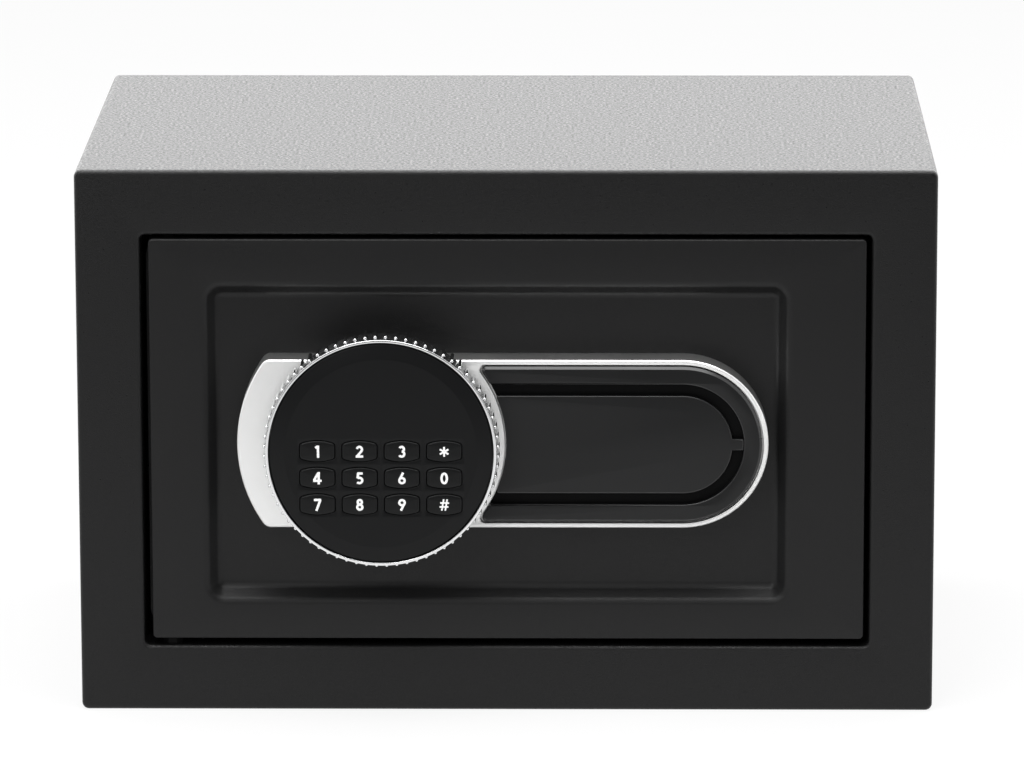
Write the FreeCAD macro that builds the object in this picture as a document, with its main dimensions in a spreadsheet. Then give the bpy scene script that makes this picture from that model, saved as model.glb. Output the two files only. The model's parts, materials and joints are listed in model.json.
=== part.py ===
import FreeCAD, Part
import Sketcher
import math
import os

Vector = FreeCAD.Vector

# Driving sizes, in millimetres and degrees. Depths are counted back from the cabinet's front face,
# so what stands in front of the face has a negative depth. Heights are counted from the base.
SIZES = {
    # Cabinet
    "cabinet_width": 310.0,
    "cabinet_height": 200.0,
    "cabinet_depth": 200.0,
    "sheet": 2.0,
    "inner_bend": 0.5,
    "tray_edge": 8.0,
    "seam": 0.2,
    "border_side": 23.4,
    "border_top": 23.6,
    "border_bottom": 24.2,
    "lip_depth": 15.0,
    "fold_bevel": 1.0,
    "doorway_corner": 2.0,
    "anchor_hole_radius": 5.0,
    "back_hole_spacing": 100.0,
    "back_hole_height": 140.0,
    "base_hole_spacing": 120.0,
    "base_hole_depth": 110.0,
    "mat_thickness": 2.5,
    "mat_gap": 2.0,
    # Door leaf
    "gap_hinge": 2.9,
    "gap_latch": 1.9,
    "gap_top": 1.4,
    "gap_bottom": 2.6,
    "door_sheet": 2.0,
    "door_depth": 12.0,
    "door_corner": 1.6,
    "door_edge_bevel": 0.6,
    "recess_left": 20.2,
    "recess_right": 27.9,
    "recess_bottom": 14.5,
    "recess_top": 17.0,
    "recess_depth": 6.0,
    "recess_slope": 4.0,
    "recess_corner": 5.0,
    "recess_floor_corner": 2.5,
    "recess_rim_bevel": 1.0,
    "backplate_sheet": 2.0,
    "backplate_corner": 7.0,
    "backplate_reach": 1.5,
    "backplate_inset": 1.5,
    # Hinge
    "pivot_inset": 7.0,
    "pivot_depth": 6.0,
    "pin_radius": 2.5,
    "pin_length": 28.0,
    "bush_radius": 3.9,
    "bush_length": 9.0,
    "running_gap": 0.05,
    "hinge_block_height": 16.0,
    "washer_gap": 0.15,
    # Handle base
    "ring_inset": 84.1,
    "ring_height_share": 0.500675,
    "base_half_height": 31.0,
    "base_end_inset": 66.0,
    "base_left_radius": 52.35,
    "base_front": -6.5,
    "base_corner": 3.6,
    "base_chamfer": 1.6,
    "inlay_half_height": 28.6,
    "inlay_left_radius": 44.5,
    "inlay_pocket": 3.0,
    "inlay_rise": 0.8,
    "inlay_bevel": 0.9,
    "inlay_corner": 1.4,
    "fit_gap": 0.2,
    "groove_outer": 22.2,
    "groove_width": 4.2,
    "groove_floor": 1.0,
    "tab_height": 4.0,
    "peg_radius": 1.5,
    "peg_length": 2.5,
    "near_peg_reach": 50.6,
    "far_peg_reach": 2.3,
    # Grip ring
    "ring_radius": 42.0,
    "ring_wall": 1.4,
    "ring_front": -21.5,
    "ring_gap": 0.8,
    "ring_web": 2.0,
    "small_chamfer": 0.4,
    "rib_count": 72.0,
    "rib_foot": 0.7,
    "rib_crest": 0.4,
    "rib_rise": 0.9,
    "rib_root": 0.3,
    "rib_start": 1.0,
    "rib_stop": 0.8,
    "hub_radius": 9.0,
    "hub_end": 22.4,
    "ring_bush_wall": 2.0,
    # Keypad head
    "head_gap": 0.4,
    "face_bevel": 5.6,
    "face_rise": 0.9,
    "face_thickness": 2.5,
    "face_recess": 0.3,
    "key_width": 12.5,
    "key_height": 7.6,
    "key_bow": 1.2,
    "key_corner": 0.8,
    "key_pitch_across": 15.17,
    "key_pitch_down": 9.79,
    "key_middle_row": -9.5,
    "key_gap": 0.35,
    "key_rise": 0.7,
    "key_crown": 0.5,
    "key_flange": 0.55,
    "key_flange_thickness": 0.8,
    "key_travel": 1.0,
    "mat_sheet": 1.5,
    "keypad_board": 1.6,
    "head_back": 2.0,
    "web_gap": 0.9,
    "boss_half_width": 2.5,
    "stem_radius": 6.4,
    "stem_bore": 3.5,
    "stem_end": 35.0,
    # Bolt work
    "throw": 15.0,
    "ring_turn": 60.0,
    "cam_depth": 16.0,
    "cam_thickness": 4.0,
    "cam_hub_radius": 12.5,
    "cam_pin_radius": 2.5,
    "cam_arm_radius": 4.5,
    "cam_pin_proud": 1.0,
    "slot_gap": 0.3,
    "clip_radius": 11.5,
    "clip_thickness": 1.0,
    "clip_opening": 8.5,
    "carriage_depth": 21.6,
    "carriage_sheet": 3.0,
    "arm_drop": 10.0,
    "arm_height": 15.0,
    "arm_left_reach": 16.4,
    "arm_right_reach": 36.6,
    "plate_rise": 25.0,
    "window_margin": 1.5,
    "flange_inset": 59.7,
    "flange_front": 17.6,
    "flange_back": 32.0,
    "flange_reach": 11.0,
    "bolt_radius": 8.0,
    "bolt_depth": 24.0,
    "bolt_spacing": 70.0,
    "bolt_end_gap": 1.2,
    "bolt_chamfer": 1.5,
    "bolt_gap": 0.15,
    "guide_inset": 11.7,
    "guide_sheet": 3.0,
    "guide_back": 40.0,
    "guide_half_height": 50.0,
    "guide_foot": 12.0,
    "guide_foot_sheet": 1.5,
    "post_radius": 2.8,
    "post_gap": 0.2,
    "post_head": 5.0,
    "post_head_thickness": 2.0,
    "post_spacing": 36.0,
    "post_reach": 58.6,
    "tooth_reach": 22.6,
    "tooth_width": 6.0,
    "tooth_height": 6.0,
    "bridge_depth": 28.0,
    "bridge_sheet": 2.0,
    "bridge_half_width": 13.4,
    "bridge_rise": 15.0,
    "bridge_drop": 33.0,
    "bridge_foot": 9.0,
    "stem_nut_radius": 9.0,
    "stem_nut_height": 4.0,
    # Solenoid
    "solenoid_reach": 33.1,
    "solenoid_depth": 23.1,
    "solenoid_width": 22.0,
    "solenoid_drop": 35.0,
    "solenoid_height": 20.0,
    "plunger_radius": 3.0,
    "plunger_drop": 32.0,
    "plunger_length": 18.0,
    "plunger_collar": 4.0,
    "plunger_collar_thickness": 1.0,
    # Emergency lock
    "lock_radius": 9.5,
    "lock_back": 26.0,
    "lock_bore": 6.0,
    "lock_nut_radius": 13.0,
    "lock_nut_height": 4.0,
    "lock_tail": 2.2,
    "lock_tail_radius": 3.0,
    "lock_cam_reach": 15.0,
    "lock_cam_width": 9.0,
    "lock_cam_thickness": 2.0,
    "lock_cam_cut": 2.0,
    "keyway_width": 1.4,
    "keyway_height": 7.0,
    "keyway_depth": 3.0,
    # Inner cover, board and batteries
    "case_hinge_gap": 32.7,
    "case_latch_gap": 2.7,
    "case_bottom_gap": 7.0,
    "case_top_gap": 8.0,
    "case_back": 46.0,
    "case_wall": 1.2,
    "case_corner": 2.5,
    "case_bolt_gap": 0.45,
    "case_post_radius": 3.4,
    "case_post_inset": 4.7,
    "case_post_right": 15.0,
    "holder_inset": 10.0,
    "holder_top_gap": 4.0,
    "holder_wall": 1.2,
    "cell_radius": 7.25,
    "cell_length": 50.5,
    "cell_spring": 1.8,
    "cell_tip_radius": 2.75,
    "cell_tip": 1.0,
    "cover_thickness": 1.6,
    "cover_margin": 3.0,
    "cover_bevel": 0.5,
    "cover_gap": 0.1,
    "board_inset": 5.0,
    "board_rise": 20.2,
    "board_width": 26.0,
    "board_height": 62.0,
    "board_depth": 18.0,
    "board_sheet": 1.6,
    "board_post": 2.85,
    "chip_width": 13.0,
    "chip_height": 12.4,
    "chip_rise": 9.3,
    "relay_height": 6.2,
    "relay_rise": 43.4,
    "coil_radius": 3.25,
    "coil_rise": 32.2,
    "component_thickness": 6.4,
    "reset_inset": 14.0,
    "reset_lift": 12.7,
    "reset_radius": 3.0,
    "reset_rise": 1.8,
    "reset_travel": 1.5,
    "reset_body": 9.0,
    # Screws
    "screw_radius": 2.0,
    "screw_head": 3.6,
    "screw_head_thickness": 1.8,
    "screw_gap": 0.15,
    "screw_reach": 7.0,
    "screw_left_inset": 18.0,
    "screw_right_inset": 3.5,
    "small_screw_radius": 1.5,
    "small_screw_head": 3.0,
    "small_screw_reach": 8.0,
}

doc = FreeCAD.newDocument("Safe")
sheet = doc.addObject("Spreadsheet::Sheet", "Sizes")
for line, (alias, number) in enumerate(SIZES.items(), start=1):
    sheet.set(f"A{line}", alias)
    sheet.set(f"B{line}", str(number))
    sheet.setAlias(f"B{line}", alias)
doc.recompute()

pieces = []


class Size(float):
    """A length or an angle, together with the sheet formula that it comes from."""

    def __new__(cls, number, formula=None):
        size = super().__new__(cls, number)
        size.formula = formula or repr(float(number))
        return size

    def __add__(self, other):
        return combine(self, "+", other, float(self) + float(other))

    def __radd__(self, other):
        return combine(other, "+", self, float(other) + float(self))

    def __sub__(self, other):
        return combine(self, "-", other, float(self) - float(other))

    def __rsub__(self, other):
        return combine(other, "-", self, float(other) - float(self))

    def __mul__(self, other):
        return combine(self, "*", other, float(self) * float(other))

    def __rmul__(self, other):
        return combine(other, "*", self, float(other) * float(self))

    def __truediv__(self, other):
        return combine(self, "/", other, float(self) / float(other))

    def __neg__(self):
        return Size(-float(self), f"(-{self.formula})")


def formula(value):
    """The sheet formula of a size, or the plain number."""
    return getattr(value, "formula", repr(float(value)))


def combine(left, sign, right, number):
    """The size that joins two others by a sign."""
    return Size(number, f"({formula(left)} {sign} {formula(right)})")


def root(value):
    """The square root of a size."""
    return Size(math.sqrt(value), f"sqrt({formula(value)})")


def sine(angle):
    """The sine of an angle in degrees."""
    return Size(math.sin(math.radians(angle)), f"sin({formula(angle)} * 1 deg)")


def cosine(angle):
    """The cosine of an angle in degrees."""
    return Size(math.cos(math.radians(angle)), f"cos({formula(angle)} * 1 deg)")


def chord_half(radius, height):
    """Half the chord that a circle cuts from a line at a height from its centre."""
    return root(radius * radius - height * height)


def bind(item, name, value):
    """Set a property of an object, and tie it to the sheet where the value comes from there."""
    item.setExpression(name, formula(value))


class Sheet:
    """The sheet's cells as sizes, read by their names."""

    def __getattr__(self, alias):
        return Size(float(sheet.get(alias)), f"Sizes.{alias}")


S = Sheet()
ZERO = Size(0.0)

# Sides of the outlines that stand for small circles
FEW_SIDES = 8
MORE_SIDES = 16
MANY_SIDES = 24


def place(item, x=ZERO, y=ZERO, z=ZERO):
    """Bind the place of an object to the sheet."""
    for axis, value in zip("xyz", (x, y, z)):
        bind(item, f"Placement.Base.{axis}", value)


def keep(item, node):
    """Give an object its label and count it among the finished pieces."""
    item.Label = node
    pieces.append(item)
    return item


# Sketches. A sketch lies on one of its body's own planes, moved along that plane's normal.

def new_body(name, x=ZERO, z=ZERO, y=None):
    """An empty body whose own Y is the depth behind the cabinet's front face."""
    body = doc.addObject("PartDesign::Body", name)
    place(body, x, -S.cabinet_depth / 2 if y is None else y, z)
    return body


def sketch(body, plane, offset=ZERO):
    """An empty sketch on a plane of the body, the given distance along the plane's normal."""
    drawing = body.newObject("Sketcher::SketchObject", f"{body.Name}_sketch")
    features = body.Origin.OriginFeatures
    support = next(feature for feature in features if feature.Role == plane)
    drawing.AttachmentSupport = (support, [""])
    drawing.MapMode = "FlatFace"
    bind(drawing, "AttachmentOffset.Base.z", offset)
    return drawing


def front_sketch(body, depth):
    """An empty sketch parallel to the door, at a depth behind the front face."""
    return sketch(body, "XZ_Plane", -depth)


def tie(drawing, kind, element, point, value):
    """Hold one coordinate of a point, or one radius, to a size."""
    if kind in ("DistanceX", "DistanceY") and float(value) == 0 and formula(value) == "0.0":
        axis = -2 if kind == "DistanceX" else -1
        drawing.addConstraint(Sketcher.Constraint("PointOnObject", element, point, axis))
        return
    if kind == "Radius":
        index = drawing.addConstraint(Sketcher.Constraint(kind, element, float(value)))
    else:
        index = drawing.addConstraint(Sketcher.Constraint(kind, element, point, float(value)))
    drawing.setExpression(f"Constraints[{index}]", formula(value))


def tie_point(drawing, element, point, x, y):
    """Hold a point to two sizes."""
    tie(drawing, "DistanceX", element, point, x)
    tie(drawing, "DistanceY", element, point, y)


def circle(drawing, x, y, radius):
    """A circle whose centre and radius follow the sheet."""
    centre = Vector(float(x), float(y), 0)
    element = drawing.addGeometry(Part.Circle(centre, Vector(0, 0, 1), float(radius)))
    tie_point(drawing, element, 3, x, y)
    tie(drawing, "Radius", element, 0, radius)


def arc_between(start, end, centre, turn):
    """The arc from start to end about a centre, turning left or right."""
    first, last = (start, end) if turn == "left" else (end, start)
    angles = [math.atan2(p.y - centre.y, p.x - centre.x) for p in (first, last)]
    radius = (start - centre).Length
    whole = Part.Circle(centre, Vector(0, 0, 1), radius)
    return Part.ArcOfCircle(whole, angles[0], angles[1])


def outline(drawing, corners, arcs=None):
    """A closed outline through corners given in order.

    Each corner follows the sheet. arcs gives, for the number of a side, the centre of its arc and
    the way it turns; every other side is a straight line.
    """
    arcs = arcs or {}
    spots = [Vector(float(x), float(y), 0) for x, y in corners]
    ends = []
    for number, start in enumerate(spots):
        end = spots[(number + 1) % len(spots)]
        if number in arcs:
            (x, y), turn = arcs[number]
            element = drawing.addGeometry(arc_between(start, end, Vector(float(x), float(y), 0), turn))
            if abs(end.y - start.y) > abs(end.x - start.x):
                tie(drawing, "DistanceX", element, 3, x)
            else:
                tie(drawing, "DistanceY", element, 3, y)
            ends.append((element, 1, 2) if turn == "left" else (element, 2, 1))
        else:
            element = drawing.addGeometry(Part.LineSegment(start, end))
            ends.append((element, 1, 2))
    for number, (element, first, last) in enumerate(ends):
        following = ends[(number + 1) % len(ends)]
        drawing.addConstraint(Sketcher.Constraint("Coincident", element, last, following[0], following[1]))
        tie_point(drawing, element, first, *corners[number])


def rectangle(drawing, left, bottom, right, top):
    """A rectangle given by its four sides."""
    outline(drawing, [(left, bottom), (right, bottom), (right, top), (left, top)])


def rounded_rectangle(drawing, left, bottom, right, top, radius):
    """A rectangle with quarter-round corners."""
    low, high = bottom + radius, top - radius
    near, far = left + radius, right - radius
    corners = [(near, bottom), (far, bottom), (right, low), (right, high),
               (far, top), (near, top), (left, high), (left, low)]
    arcs = {1: ((far, low), "left"), 3: ((far, high), "left"),
            5: ((near, high), "left"), 7: ((near, low), "left")}
    outline(drawing, corners, arcs)


def cut_rectangle(drawing, left, bottom, right, top, cut):
    """A rectangle whose corners are cut off evenly."""
    outline(drawing, [(left + cut, bottom), (right - cut, bottom), (right, bottom + cut), (right, top - cut),
                      (right - cut, top), (left + cut, top), (left, top - cut), (left, bottom + cut)])


def many_sided(drawing, x, y, radius, sides):
    """A regular outline that stands for a small circle, with its corners at the radius."""
    corners = []
    for number in range(sides):
        turn = 2 * math.pi * (number + 0.5) / sides
        corners.append((x + radius * math.cos(turn), y + radius * math.sin(turn)))
    outline(drawing, corners)


# Features of a body.

def extrude(body, kind, drawing, length, reverse=False):
    """Pad or pocket a sketch by a length."""
    feature = body.newObject(kind, f"{body.Name}_{kind.split('::')[1]}")
    feature.Profile = drawing
    feature.Reversed = reverse
    bind(feature, "Length", length)
    doc.recompute()
    return feature


def pad(body, drawing, length, reverse=False):
    """Add material along the sketch's normal."""
    return extrude(body, "PartDesign::Pad", drawing, length, reverse)


def pocket(body, drawing, length, reverse=False):
    """Take material away against the sketch's normal, and check that some goes."""
    before = body.Tip.Shape.Volume
    feature = extrude(body, "PartDesign::Pocket", drawing, length, reverse)
    if feature.Shape.Volume >= before - 1e-6:
        raise RuntimeError(f"{feature.Name} takes nothing away")
    return feature


def front_pad(body, depth, length, draw):
    """Pad from a depth back by a length. draw puts the outlines on the sketch."""
    drawing = front_sketch(body, depth + length)
    draw(drawing)
    return pad(body, drawing, length)


def front_pocket(body, depth, length, draw):
    """Pocket from a depth back by a length. draw puts the outlines on the sketch."""
    drawing = front_sketch(body, depth)
    draw(drawing)
    return pocket(body, drawing, length)


def turned(body, corners, arcs=None):
    """Revolve a profile about the body's own Y axis. Corners are radius and depth."""
    drawing = sketch(body, "XY_Plane")
    outline(drawing, corners, arcs)
    feature = body.newObject("PartDesign::Revolution", f"{body.Name}_Revolution")
    feature.Profile = drawing
    axis = next(item for item in body.Origin.OriginFeatures if item.Role == "Y_Axis")
    feature.ReferenceAxis = (axis, [""])
    feature.Angle = 360
    doc.recompute()
    return feature


def tube(body, inner, outer, front, back):
    """A straight tube about the body's own Y axis."""
    return turned(body, [(inner, front), (outer, front), (outer, back), (inner, back)])


def edges_of(body, test):
    """The names of the edges of the body's last feature that pass a test."""
    edges = body.Tip.Shape.Edges
    return [f"Edge{number}" for number, edge in enumerate(edges, start=1) if test(edge)]


def dress(body, kind, names, sizes):
    """Fillet or chamfer named edges of the body's last feature."""
    if not names:
        raise RuntimeError(f"{body.Name} has no edge for its {kind}")
    base = body.Tip
    feature = body.newObject(kind, f"{body.Name}_{kind.split('::')[1]}")
    feature.Base = (base, names)
    for name, value in sizes.items():
        bind(feature, name, value)
    doc.recompute()
    if feature.Shape.isNull() or "Invalid" in feature.State:
        raise RuntimeError(f"{feature.Name} failed")
    return feature


def fillet(body, names, radius):
    """Round named edges."""
    return dress(body, "PartDesign::Fillet", names, {"Radius": radius})


def chamfer(body, names, size):
    """Bevel named edges evenly."""
    return dress(body, "PartDesign::Chamfer", names, {"Size": size})


def at_depth(depth):
    """A test for edges that lie wholly at one depth. The body's own Y is the depth."""
    def test(edge):
        box = edge.BoundBox
        return all(abs(y - float(depth)) < 1e-4 for y in (box.YMin, box.YMax))
    return test


def is_along(axis):
    """A test for straight edges parallel to an axis: 0 is X, 1 is Y and 2 is Z."""
    def test(edge):
        if edge.Curve.TypeId != "Part::GeomLine":
            return False
        direction = edge.Curve.Direction
        return abs(abs(direction[axis]) - 1) < 1e-6
    return test


def both(*tests):
    """A test that passes where all the given ones do."""
    return lambda edge: all(test(edge) for test in tests)


# Places that several pieces share.

half_width = S.cabinet_width / 2
doorway_left = -half_width + S.border_side
doorway_right = half_width - S.border_side
doorway_bottom = S.border_bottom
doorway_top = S.cabinet_height - S.border_top
door_left = doorway_left + S.gap_hinge
door_right = doorway_right - S.gap_latch
door_bottom = doorway_bottom + S.gap_bottom
door_top = doorway_top - S.gap_top
recess = (door_left + S.recess_left, door_bottom + S.recess_bottom,
          door_right - S.recess_right, door_top - S.recess_top)
pivot_side = door_left + S.pivot_inset
backplate_front = S.door_depth
backplate_back = backplate_front + S.backplate_sheet
outer_bend = S.inner_bend + S.sheet
ring_x = door_left + S.ring_inset
ring_z = door_bottom + (door_top - door_bottom) * S.ring_height_share
base_end_x = door_right - S.base_end_inset
near_peg_x = ring_x + S.near_peg_reach
far_peg_x = base_end_x + S.far_peg_reach
lock_x = (near_peg_x + far_peg_x) / 2
bush_outer = S.hub_radius + S.running_gap + S.ring_bush_wall
case_left = door_left + S.case_hinge_gap
case_right = door_right - S.case_latch_gap
case_bottom = door_bottom + S.case_bottom_gap
case_top = door_top - S.case_top_gap


# Cabinet

def make_cabinet_shell():
    """Top and two sides, bent from one sheet."""
    body = new_body("cabinet_shell")
    foot = S.tray_edge + S.seam
    length = S.cabinet_depth - S.sheet
    left, right, top = -half_width, half_width, S.cabinet_height
    near, far, high = left + outer_bend, right - outer_bend, top - outer_bend

    def draw(drawing):
        corners = [(left, foot), (left + S.sheet, foot), (left + S.sheet, high), (near, top - S.sheet),
                   (far, top - S.sheet), (right - S.sheet, high), (right - S.sheet, foot),
                   (right, foot), (right, high), (far, top), (near, top), (left, high)]
        arcs = {2: ((near, high), "right"), 4: ((far, high), "right"),
                8: ((far, high), "left"), 10: ((near, high), "left")}
        outline(drawing, corners, arcs)
    front_pad(body, S.sheet, length, draw)
    keep(body, "cabinet_shell")


def make_base_tray():
    """Bottom sheet with two upturned edges that carry the sides on, and two anchor holes."""
    body = new_body("base_tray")
    left, right = -half_width, half_width
    near, far = left + outer_bend, right - outer_bend
    low = outer_bend

    def draw(drawing):
        corners = [(near, ZERO), (far, ZERO), (right, low), (right, S.tray_edge),
                   (right - S.sheet, S.tray_edge), (right - S.sheet, low), (far, S.sheet),
                   (near, S.sheet), (left + S.sheet, low), (left + S.sheet, S.tray_edge),
                   (left, S.tray_edge), (left, low)]
        arcs = {1: ((far, low), "left"), 5: ((far, low), "right"),
                7: ((near, low), "right"), 11: ((near, low), "left")}
        outline(drawing, corners, arcs)
    front_pad(body, S.sheet, S.cabinet_depth - S.sheet, draw)
    drill_floor(body, S.sheet)
    keep(body, "base_tray")


def drill_floor(body, top):
    """The two anchor holes through a sheet that lies on the base, up to the given height."""
    drawing = sketch(body, "XY_Plane", top)
    for side in (-1, 1):
        circle(drawing, side * S.base_hole_spacing / 2, S.base_hole_depth, S.anchor_hole_radius)
    pocket(body, drawing, top)


def make_back_panel():
    """Back sheet set between the sides, with two anchor holes."""
    body = new_body("back_panel")
    edge = S.sheet

    def draw(drawing):
        cut_rectangle(drawing, -half_width + edge, edge, half_width - edge,
                      S.cabinet_height - edge, S.inner_bend)
    front_pad(body, S.cabinet_depth - S.sheet, S.sheet, draw)

    def drill(drawing):
        for side in (-1, 1):
            circle(drawing, side * S.back_hole_spacing / 2, S.back_hole_height, S.anchor_hole_radius)
    front_pocket(body, S.cabinet_depth - S.sheet, S.sheet, drill)
    keep(body, "back_panel")


def make_front_frame():
    """Front face of the cabinet, folded in around the doorway to a lip all round."""
    body = new_body("front_frame")

    def draw_face(drawing):
        rounded_rectangle(drawing, -half_width, ZERO, half_width, S.cabinet_height, outer_bend)
    front_pad(body, ZERO, S.sheet, draw_face)

    def draw_lip(drawing):
        rounded_rectangle(drawing, doorway_left - S.sheet, doorway_bottom - S.sheet, doorway_right + S.sheet,
                          doorway_top + S.sheet, S.doorway_corner + S.sheet)
    front_pad(body, S.sheet, S.lip_depth - S.sheet, draw_lip)

    def draw_doorway(drawing):
        rounded_rectangle(drawing, doorway_left, doorway_bottom, doorway_right, doorway_top, S.doorway_corner)
    front_pocket(body, ZERO, S.lip_depth, draw_doorway)

    drawing = sketch(body, "XY_Plane", doorway_top + S.sheet)
    circle(drawing, pivot_side, S.pivot_depth, S.pin_radius + S.screw_gap)
    pocket(body, drawing, S.cabinet_height)
    chamfer(body, edges_of(body, at_depth(ZERO)), S.fold_bevel)
    keep(body, "front_frame")


def make_floor_mat():
    """Soft mat on the cabinet's floor, cut round the anchor holes."""
    body = new_body("floor_mat")
    drawing = sketch(body, "XY_Plane", S.sheet)
    reach = half_width - S.sheet - S.mat_gap
    cut_rectangle(drawing, -reach, S.lip_depth + S.mat_gap, reach,
                  S.cabinet_depth - S.sheet - S.mat_gap, outer_bend)
    pad(body, drawing, S.mat_thickness)
    drill_floor(body, S.sheet + S.mat_thickness)
    keep(body, "floor_mat")


# Hinge

def make_hinge():
    """Two pins in the door that turn in two bushes on the frame's lips, and the washer under it."""
    bore = S.pin_radius + S.running_gap
    depth = S.pivot_depth
    upper = doorway_top + S.sheet
    lower = doorway_bottom - S.sheet
    for name, start, sign in (("upper", upper, 1), ("lower", lower, -1)):
        body = new_body(f"hinge_bush_{name}")
        drawing = sketch(body, "XY_Plane", start)
        many_sided(drawing, pivot_side, depth, S.bush_radius, FEW_SIDES)
        circle(drawing, pivot_side, depth, bore)
        pad(body, drawing, S.bush_length, reverse=sign < 0)
        keep(body, f"hinge_bush_{name}")

    pin_reach = S.bush_length - S.sheet / 2
    for name, tip, sign in (("upper", upper + pin_reach, 1), ("lower", lower - pin_reach, -1)):
        body = new_body(f"hinge_pin_{name}")
        drawing = sketch(body, "XY_Plane", tip)
        circle(drawing, pivot_side, depth, S.pin_radius)
        pad(body, drawing, S.pin_length, reverse=sign > 0)
        keep(body, f"hinge_pin_{name}")

    half = S.pivot_inset - S.door_sheet
    for name, start, sign in (("upper", door_top - S.door_sheet, -1),
                              ("lower", door_bottom + S.door_sheet, 1)):
        body = new_body(f"hinge_block_{name}")
        drawing = sketch(body, "XY_Plane", start)
        rectangle(drawing, pivot_side - half, S.door_sheet, pivot_side + half, S.door_depth)
        circle(drawing, pivot_side, depth, S.pin_radius)
        pad(body, drawing, S.hinge_block_height, reverse=sign < 0)
        keep(body, f"hinge_block_{name}")

    body = new_body("hinge_washer")
    drawing = sketch(body, "XY_Plane", doorway_bottom)
    many_sided(drawing, pivot_side, depth, S.bush_radius, FEW_SIDES)
    circle(drawing, pivot_side, depth, bore)
    pad(body, drawing, S.gap_bottom - S.washer_gap)
    keep(body, "hinge_washer")


# Door leaf

base_screw_sides = (ring_x - S.base_left_radius + S.screw_left_inset, base_end_x - S.screw_right_inset)


def draw_door_holes(drawing):
    """The holes for the ring's bush, the emergency lock and the handle base's screws."""
    circle(drawing, ring_x, ring_z, bush_outer + S.running_gap)
    circle(drawing, lock_x, ring_z, S.lock_radius + S.running_gap)
    for side in base_screw_sides:
        many_sided(drawing, side, ring_z, S.screw_radius + S.screw_gap, FEW_SIDES)


def make_door_skin():
    """Door front pressed from one sheet: a dished field inside a flat border, and folded sides."""
    body = new_body("door_skin")
    left, bottom, right, top = recess

    def draw_door(drawing):
        rounded_rectangle(drawing, door_left, door_bottom, door_right, door_top, S.door_corner)
    front_pad(body, ZERO, S.door_depth, draw_door)
    chamfer(body, edges_of(body, at_depth(ZERO)), S.door_edge_bevel)

    def draw_hollow(drawing):
        rectangle(drawing, door_left + S.door_sheet, door_bottom + S.door_sheet,
                  door_right - S.door_sheet, door_top - S.door_sheet)
    front_pocket(body, S.door_sheet, S.door_depth - S.door_sheet, draw_hollow)

    def draw_dish(drawing):
        rounded_rectangle(drawing, left, bottom, right, top, S.recess_corner)
    front_pad(body, S.door_sheet, S.recess_depth, draw_dish)

    def dish_sketch(depth, inset, corner):
        drawing = front_sketch(body, depth)
        rounded_rectangle(drawing, left + inset, bottom + inset, right - inset, top - inset, corner)
        return drawing

    bevel = S.recess_rim_bevel
    lip = bevel * S.recess_slope / S.recess_depth
    dish = dish_sketch(ZERO, ZERO, S.recess_corner)
    floor = dish_sketch(S.recess_depth, S.recess_slope, S.recess_floor_corner)
    rim = dish_sketch(ZERO, -bevel, S.recess_corner + bevel)
    rim_foot = dish_sketch(bevel, lip, S.recess_corner - lip)
    for name, start, end in (("door_dish", dish, floor), ("door_dish_rim", rim, rim_foot)):
        loft = body.newObject("PartDesign::SubtractiveLoft", name)
        loft.Profile = start
        loft.Sections = [end]
        loft.Ruled = True
        doc.recompute()

    front_pocket(body, S.recess_depth, S.door_sheet, draw_door_holes)
    drawing = sketch(body, "XY_Plane", door_top)
    circle(drawing, pivot_side, S.pivot_depth, S.pin_radius)
    pocket(body, drawing, S.cabinet_height)
    keep(body, "door_skin")


def case_post_places():
    """Where the inner cover's four posts stand, seen from the front."""
    inset = S.case_post_inset
    return [(side, height)
            for side in (case_left + inset, case_right - S.case_post_right)
            for height in (case_bottom + inset, case_top - inset)]


def make_door_backplate():
    """Back sheet of the door with the posts that carry the inner cover."""
    body = new_body("door_backplate")

    def draw_plate(drawing):
        rounded_rectangle(drawing, door_left - S.backplate_reach, door_bottom + S.backplate_inset,
                          door_right - S.backplate_inset, door_top - S.backplate_inset,
                          S.backplate_corner)
    front_pad(body, backplate_front, S.backplate_sheet, draw_plate)
    front_pocket(body, backplate_front, S.backplate_sheet, draw_door_holes)

    def draw_posts(drawing):
        for side, height in case_post_places():
            many_sided(drawing, side, height, S.case_post_radius, FEW_SIDES)
    front_pad(body, backplate_back, S.case_back - S.case_wall - backplate_back, draw_posts)

    def draw_threads(drawing):
        for side, height in case_post_places():
            many_sided(drawing, side, height, S.small_screw_radius, FEW_SIDES)
    front_pocket(body, S.case_back - S.case_wall - S.small_screw_reach, S.small_screw_reach, draw_threads)
    keep(body, "door_backplate")


# Handle

base_back = S.recess_depth
inlay_front = S.base_front - S.inlay_rise
inlay_back = S.base_front + S.inlay_pocket
inlay_floor = inlay_back - S.groove_floor


def draw_base(drawing):
    """The base's outline: round about the ring at the left, half-round at the right."""
    half = S.base_half_height
    left = ring_x - chord_half(S.base_left_radius, half)
    top, bottom = ring_z + half, ring_z - half
    corners = [(left, top), (base_end_x, top), (base_end_x, bottom), (left, bottom)]
    arcs = {1: ((base_end_x, ring_z), "right"), 3: ((ring_x, ring_z), "right")}
    outline(drawing, corners, arcs)


def draw_inlay(drawing, half, left_radius):
    """An outline beside the ring: hollowed about the ring at the left, half-round at the right."""
    left = ring_x + chord_half(left_radius, half)
    top, bottom = ring_z + half, ring_z - half
    corners = [(left, top), (base_end_x, top), (base_end_x, bottom), (left, bottom)]
    arcs = {1: ((base_end_x, ring_z), "right"), 3: ((ring_x, ring_z), "left")}
    outline(drawing, corners, arcs)


def draw_pegs(drawing, radius):
    """The key cover's two pegs or their holes."""
    for side in (near_peg_x, far_peg_x):
        many_sided(drawing, side, ring_z, radius, FEW_SIDES)


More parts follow.
